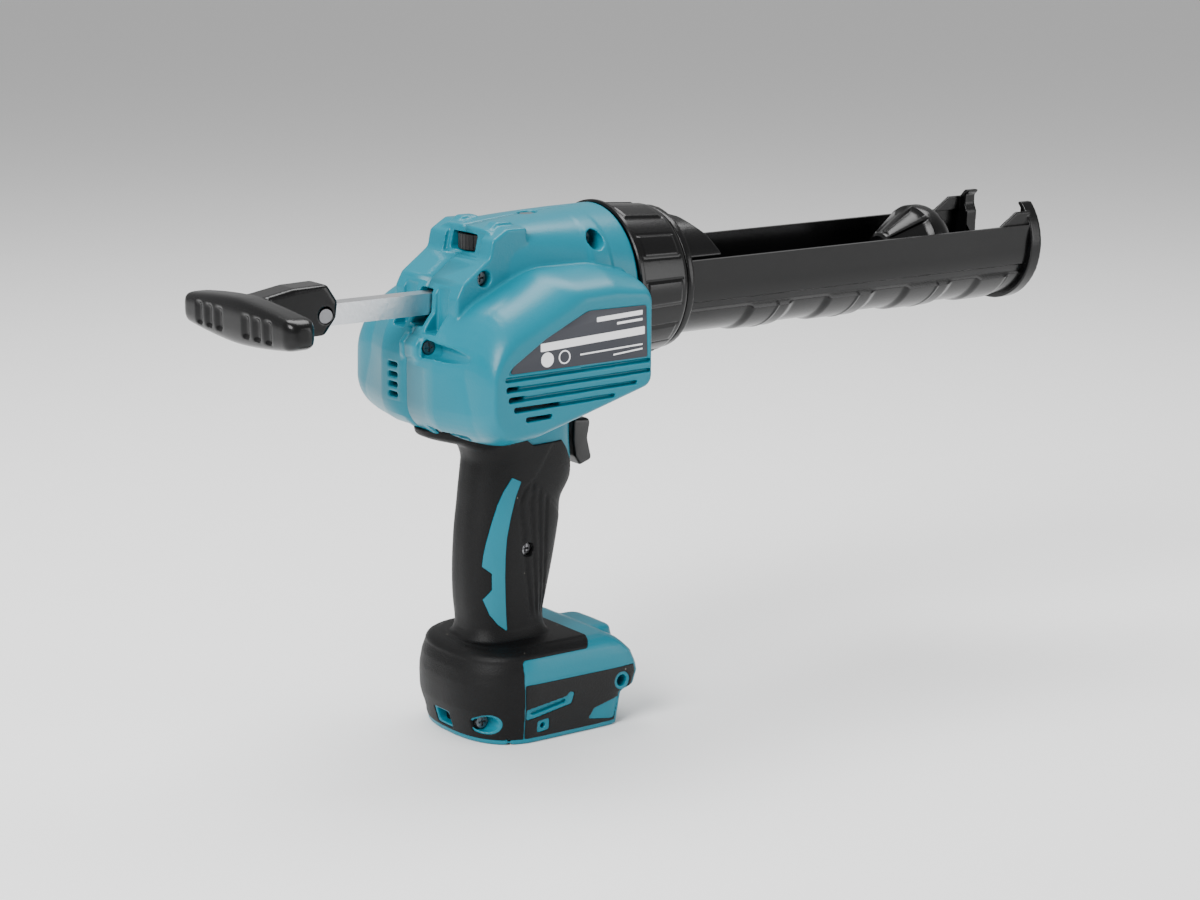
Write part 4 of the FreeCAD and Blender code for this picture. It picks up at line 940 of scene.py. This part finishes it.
LABEL = ((38.2, -1.4, 1.2), (38.9, -24.9, 0.7), (-35.6, -25.2, 1.2), (-33.0, -21.6, 6.0),
         (-16.3, -10.9, 20.0), (6.6, -1.0, 8.0))


def make_labels(colours, shape):
    """Dark plates in the drum faces, with a blank white strip and two plain pictograms."""
    film = plastic("label_film", colours.label, rough=0.38, grain=0.05, scale=500, mottle=0.05)
    ink = plastic("label_ink", (0.82, 0.82, 0.84), rough=0.45, grain=0.0, mottle=0.02)
    plate_loop = rounded_loop(LABEL)
    for name, side, node in (("label_right", -1, "name_plate_right"), ("label_left", 1, "name_plate_left")):
        low, high = sorted((side * 57.9, side * 58.85))
        piece = build(name, [slab(plate_loop, low, high, edge=0.12)])
        finished(piece, "tool", film, replaces=(node,))
        sharpen(piece)
        low, high = sorted((side * 58.7, side * 58.95))
        marks = [slab(rounded_outline(((-19.0, -16.8), (37.2, -14.4), (37.2, -10.9), (-19.0, -13.2)), 0.3),
                      low, high, edge=0.03)]
        marks.append(slab(rounded_outline(((11, -4.4), (36, -3.4), (36, -5.5), (11, -6.5)), 0.3), low, high,
                          edge=0.03))
        marks.append(slab(rounded_outline(((22, -7.6), (36, -7.0), (36, -8.1), (22, -8.7)), 0.2), low, high,
                          edge=0.03))
        for z, start, end in ((-19.6, 2, 36), (-21.6, 20, 36)):
            marks.append(slab(rounded_outline(((start, z - 0.9), (end, z + 0.3), (end, z + 1.0),
                                               (start, z - 0.2)), 0.1), low, high, edge=0.03))
        circle = np.stack([np.cos(np.linspace(0, 2 * np.pi, 48, False)),
                           np.sin(np.linspace(0, 2 * np.pi, 48, False))], -1)
        marks.append(slab(circle * 3.3 + (-15.5, -20.6), low, high, edge=0.03))
        ring = turned(((58.7, 2.5), (58.95, 2.5), (58.95, 3.1), (58.7, 3.1)), 48)
        points = ring[0][:, [1, 0, 2]] * (1, side, 1) + (-6.4, 0, -20.3)
        marks.append((points, ring[1]))
        printed = build(name + "_marks", marks)
        finished(printed, "tool", ink, smooth=False)


def dress_frame(colours):
    """Gives every CAD node its material by slot."""
    looks = {
        "rack_steel": plastic("rack_steel", (0.62, 0.63, 0.65), rough=0.3, grain=0.3, scale=400,
                              mottle=0.25, metallic=1.0),
        "screw_steel": plastic("screw_steel", (0.22, 0.22, 0.23), rough=0.35, grain=0.2, metallic=1.0),
        "gear_steel": plastic("gear_steel", (0.42, 0.42, 0.43), rough=0.32, grain=0.2, metallic=1.0),
        "gear_nylon": plastic("gear_nylon", (0.75, 0.72, 0.62), rough=0.5),
        "frame_aluminium": plastic("frame_aluminium", (0.6, 0.6, 0.62), rough=0.5, grain=0.5,
                                   metallic=1.0),
        "motor_steel": plastic("motor_steel", (0.5, 0.5, 0.52), rough=0.35, metallic=1.0),
        "magnet_ferrite": plastic("magnet_ferrite", (0.05, 0.05, 0.05), rough=0.6),
        "winding_copper": plastic("winding_copper", (0.7, 0.3, 0.12), rough=0.3, metallic=1.0),
        "bush_bronze": plastic("bush_bronze", (0.55, 0.36, 0.16), rough=0.4, metallic=1.0),
        "board_green": plastic("board_green", (0.01, 0.13, 0.05), rough=0.35),
        "spring_steel": plastic("spring_steel", (0.5, 0.5, 0.5), rough=0.3, metallic=1.0),
        "black_plastic": black_plastic(colours),
        "trigger_plastic": bpy.data.materials["trigger_plastic_look"],
        "label_film": bpy.data.materials["label_film_look"],
        "grip_rubber": bpy.data.materials["grip_rubber_look"],
        "teal_plastic": teal_plastic(colours),
    }
    for part in frame["record"]["subparts"]:
        node = frame["nodes"][part["node"]]
        node.data.materials.clear()
        node.data.materials.append(looks[part["material_slot"]])


# ------------------------------------------------------------------ materials
def socket(group, name, kind, way, default=None):
    item = group.interface.new_socket(name, in_out=way, socket_type=kind)
    if default is not None:
        item.default_value = default
    return item


def grain_group():
    """Shared effect: fine moulded grain and slow mottling, from Object coordinates."""
    group = bpy.data.node_groups.get("moulded_grain")
    if group:
        return group
    group = bpy.data.node_groups.new("moulded_grain", "ShaderNodeTree")
    socket(group, "Colour", "NodeSocketColor", "INPUT")
    socket(group, "Grain Scale", "NodeSocketFloat", "INPUT", 900.0)
    socket(group, "Grain Depth", "NodeSocketFloat", "INPUT", 0.2)
    socket(group, "Mottle", "NodeSocketFloat", "INPUT", 0.06)
    socket(group, "Roughness", "NodeSocketFloat", "INPUT", 0.4)
    socket(group, "Roughness Spread", "NodeSocketFloat", "INPUT", 0.06)
    socket(group, "Dust", "NodeSocketFloat", "INPUT", 0.0)
    socket(group, "Colour", "NodeSocketColor", "OUTPUT")
    socket(group, "Roughness", "NodeSocketFloat", "OUTPUT")
    socket(group, "Normal", "NodeSocketVector", "OUTPUT")
    nodes, links = group.nodes, group.links
    inp, out = nodes.new("NodeGroupInput"), nodes.new("NodeGroupOutput")
    coord = nodes.new("ShaderNodeTexCoord")
    slow = nodes.new("ShaderNodeTexNoise")
    slow.inputs["Scale"].default_value = 22
    slow.inputs["Detail"].default_value = 4
    fine = nodes.new("ShaderNodeTexNoise")
    fine.inputs["Detail"].default_value = 2
    specks = nodes.new("ShaderNodeTexVoronoi")
    specks.inputs["Scale"].default_value = 260
    bump = nodes.new("ShaderNodeBump")
    bump.inputs["Distance"].default_value = 0.0004
    for node in (slow, fine, specks):
        links.new(coord.outputs["Object"], node.inputs["Vector"])
    links.new(inp.outputs["Grain Scale"], fine.inputs["Scale"])
    links.new(inp.outputs["Grain Depth"], bump.inputs["Strength"])
    links.new(fine.outputs["Fac"], bump.inputs["Height"])
    centred = nodes.new("ShaderNodeMath")
    centred.operation = "SUBTRACT"
    centred.inputs[1].default_value = 0.5
    links.new(slow.outputs["Fac"], centred.inputs[0])
    shade = nodes.new("ShaderNodeMath")
    shade.operation = "MULTIPLY_ADD"
    shade.inputs[2].default_value = 1.0
    links.new(centred.outputs[0], shade.inputs[0])
    links.new(inp.outputs["Mottle"], shade.inputs[1])
    tinted = nodes.new("ShaderNodeVectorMath")
    tinted.operation = "SCALE"
    links.new(inp.outputs["Colour"], tinted.inputs[0])
    links.new(shade.outputs[0], tinted.inputs["Scale"])
    near = nodes.new("ShaderNodeMath")
    near.operation = "LESS_THAN"
    near.inputs[1].default_value = 0.10
    links.new(specks.outputs["Distance"], near.inputs[0])
    rare = nodes.new("ShaderNodeMath")
    rare.operation = "GREATER_THAN"
    rare.inputs[1].default_value = 0.93
    split = nodes.new("ShaderNodeSeparateColor")
    links.new(specks.outputs["Color"], split.inputs[0])
    links.new(split.outputs[0], rare.inputs[0])
    both = nodes.new("ShaderNodeMath")
    both.operation = "MULTIPLY"
    links.new(near.outputs[0], both.inputs[0])
    links.new(rare.outputs[0], both.inputs[1])
    amount = nodes.new("ShaderNodeMath")
    amount.operation = "MULTIPLY"
    links.new(both.outputs[0], amount.inputs[0])
    links.new(inp.outputs["Dust"], amount.inputs[1])
    dusty = nodes.new("ShaderNodeMix")
    dusty.data_type = "RGBA"
    dusty.inputs["B"].default_value = (0.35, 0.33, 0.28, 1)
    links.new(amount.outputs[0], dusty.inputs["Factor"])
    links.new(tinted.outputs[0], dusty.inputs["A"])
    links.new(dusty.outputs["Result"], out.inputs["Colour"])
    rough = nodes.new("ShaderNodeMath")
    rough.operation = "MULTIPLY_ADD"
    links.new(centred.outputs[0], rough.inputs[0])
    links.new(inp.outputs["Roughness Spread"], rough.inputs[1])
    links.new(inp.outputs["Roughness"], rough.inputs[2])
    links.new(rough.outputs[0], out.inputs["Roughness"])
    links.new(bump.outputs["Normal"], out.inputs["Normal"])
    return group


def plastic(name, colour, rough=0.4, grain=0.25, scale=900.0, mottle=0.08, dust=0.0,
            metallic=0.0, coat=0.0, specular=0.5):
    """Moulded or machined finish: a Principled shader fed by the shared grain group."""
    found = bpy.data.materials.get(name + "_look")
    if found:
        return found
    material = bpy.data.materials.new(name + "_look")
    material.use_nodes = True
    nodes, links = material.node_tree.nodes, material.node_tree.links
    shader = nodes["Principled BSDF"]
    shader.inputs["Metallic"].default_value = metallic
    shader.inputs["Coat Weight"].default_value = coat
    shader.inputs["Coat Roughness"].default_value = 0.12
    shader.inputs["Specular IOR Level"].default_value = specular
    effect = nodes.new("ShaderNodeGroup")
    effect.node_tree = grain_group()
    effect.inputs["Colour"].default_value = (*colour, 1)
    effect.inputs["Grain Scale"].default_value = scale
    effect.inputs["Grain Depth"].default_value = grain
    effect.inputs["Mottle"].default_value = mottle
    effect.inputs["Roughness"].default_value = rough
    effect.inputs["Roughness Spread"].default_value = 0.12
    effect.inputs["Dust"].default_value = dust
    links.new(effect.outputs["Colour"], shader.inputs["Base Color"])
    links.new(effect.outputs["Roughness"], shader.inputs["Roughness"])
    links.new(effect.outputs["Normal"], shader.inputs["Normal"])
    return material


def aim(obj, target):
    direction = np.asarray(target, float) - np.asarray(obj.location, float)
    obj.rotation_euler = Vector(direction).to_track_quat("-Z", "Y").to_euler()


def area_light(name, location, target, size, power, colour=(1, 1, 1)):
    data = bpy.data.lights.new(name, "AREA")
    data.shape = "RECTANGLE"
    data.size, data.size_y = size
    data.energy = power
    data.color = colour
    lamp = bpy.data.objects.new(name, data)
    bpy.context.scene.collection.objects.link(lamp)
    lamp.location = location
    aim(lamp, target)
    return lamp


def make_stage(colours):
    """Pale floor, soft lights and the camera."""
    size = 6.0
    mesh = bpy.data.meshes.new("floor")
    mesh.from_pydata([(-size, -size, 0), (size, -size, 0), (size, size, 0), (-size, size, 0)],
                     [], [(0, 1, 2, 3)])
    floor = bpy.data.objects.new("floor", mesh)
    bpy.context.scene.collection.objects.link(floor)
    mesh.materials.append(plastic("floor_paint", colours.floor, rough=0.7, grain=0.0, mottle=0.01))
    world = bpy.data.worlds.new("studio")
    world.use_nodes = True
    background = world.node_tree.nodes["Background"]
    background.inputs[0].default_value = (1, 1, 1, 1)
    background.inputs[1].default_value = 0.5
    bpy.context.scene.world = world
    area_light("key", (-1.3, -0.5, 1.2), (0.03, 0, 0.15), (0.9, 0.9), 44)
    area_light("fill", (1.2, -1.4, 0.5), (0.1, 0, 0.12), (0.7, 1.0), 10)
    area_light("top", (0.3, 0.4, 1.5), (0.05, 0, 0.15), (1.4, 0.7), 30)
    data = bpy.data.cameras.new("camera")
    data.sensor_width = 36
    data.lens = 80.09
    camera = bpy.data.objects.new("camera", data)
    bpy.context.scene.collection.objects.link(camera)
    camera.location = (-0.66033, -1.01215, 0.40206)
    camera.rotation_euler = (math.radians(90 - 12.664), 0, math.radians(-35.221))
    bpy.context.scene.camera = camera


def sizes(context):
    return context.scene.gun_colours, context.scene.gun_shape


class GUN_OT_body(bpy.types.Operator):
    """Make both body shells"""
    bl_idname = "gun.body"
    bl_label = "Body Shells"

    def execute(self, context):
        make_body(*sizes(context))
        return {"FINISHED"}


class GUN_OT_rubber(bpy.types.Operator):
    """Make the grip rubber with the cover round the back of the base"""
    bl_idname = "gun.rubber"
    bl_label = "Grip Rubber"

    def execute(self, context):
        make_rubber(*sizes(context))
        return {"FINISHED"}


class GUN_OT_inserts(bpy.types.Operator):
    """Make the teal strips in the grip"""
    bl_idname = "gun.inserts"
    bl_label = "Grip Inserts"

    def execute(self, context):
        make_inserts(*sizes(context))
        return {"FINISHED"}


class GUN_OT_base(bpy.types.Operator):
    """Make the teal base and its black side panels"""
    bl_idname = "gun.base"
    bl_label = "Battery Base"

    def execute(self, context):
        make_base(*sizes(context))
        return {"FINISHED"}


class GUN_OT_ring(bpy.types.Operator):
    """Make the retaining ring"""
    bl_idname = "gun.ring"
    bl_label = "Retaining Ring"

    def execute(self, context):
        make_ring(*sizes(context))
        return {"FINISHED"}


class GUN_OT_holder(bpy.types.Operator):
    """Make the cartridge holder's collar, trough and front plate"""
    bl_idname = "gun.holder"
    bl_label = "Cartridge Holder"

    def execute(self, context):
        make_holder(*sizes(context))
        return {"FINISHED"}


class GUN_OT_rod(bpy.types.Operator):
    """Make the pull handle and the piston"""
    bl_idname = "gun.rod"
    bl_label = "Handle and Piston"

    def execute(self, context):
        make_rod(*sizes(context))
        return {"FINISHED"}


class GUN_OT_trigger(bpy.types.Operator):
    """Make the trigger lever"""
    bl_idname = "gun.trigger"
    bl_label = "Trigger"

    def execute(self, context):
        make_trigger(*sizes(context))
        return {"FINISHED"}


class GUN_OT_labels(bpy.types.Operator):
    """Make the name plates and their plain marks"""
    bl_idname = "gun.labels"
    bl_label = "Name Plates"

    def execute(self, context):
        make_labels(*sizes(context))
        return {"FINISHED"}


class GUN_OT_finishes(bpy.types.Operator):
    """Give every CAD node its finish"""
    bl_idname = "gun.finishes"
    bl_label = "CAD Finishes"

    def execute(self, context):
        dress_frame(context.scene.gun_colours)
        return {"FINISHED"}


class GUN_OT_stage(bpy.types.Operator):
    """Make the floor, the lights and the camera"""
    bl_idname = "gun.stage"
    bl_label = "Stage"

    def execute(self, context):
        make_stage(context.scene.gun_colours)
        return {"FINISHED"}


OPERATORS = (GUN_OT_body, GUN_OT_rubber, GUN_OT_inserts, GUN_OT_base, GUN_OT_ring, GUN_OT_holder,
             GUN_OT_rod, GUN_OT_trigger, GUN_OT_labels, GUN_OT_finishes, GUN_OT_stage)


class GUN_PT_pieces(bpy.types.Panel):
    """Colours, sizes and the pieces in the order they are made"""
    bl_idname = "GUN_PT_pieces"
    bl_label = "Caulking Gun"
    bl_space_type = "VIEW_3D"
    bl_region_type = "UI"
    bl_category = "Caulking Gun"

    def draw(self, context):
        for settings in sizes(context):
            for name in settings.bl_rna.properties.keys():
                if name not in ("rna_type", "name"):
                    self.layout.prop(settings, name)
        for operator in OPERATORS:
            self.layout.operator(operator.bl_idname)


CLASSES = (GunColours, GunShape, *OPERATORS, GUN_PT_pieces)


def register():
    for item in CLASSES:
        bpy.utils.register_class(item)
    bpy.types.Scene.gun_colours = PointerProperty(type=GunColours)
    bpy.types.Scene.gun_shape = PointerProperty(type=GunShape)


def unregister():
    del bpy.types.Scene.gun_shape
    del bpy.types.Scene.gun_colours
    for item in reversed(CLASSES):
        bpy.utils.unregister_class(item)


def main():
    register()
    for step in (bpy.ops.gun.body, bpy.ops.gun.rubber, bpy.ops.gun.inserts, bpy.ops.gun.base,
                 bpy.ops.gun.ring, bpy.ops.gun.holder, bpy.ops.gun.rod, bpy.ops.gun.trigger,
                 bpy.ops.gun.labels, bpy.ops.gun.finishes, bpy.ops.gun.stage):
        step()
    bpy.context.view_layer.update()


if __name__ == "__main__":
    main()
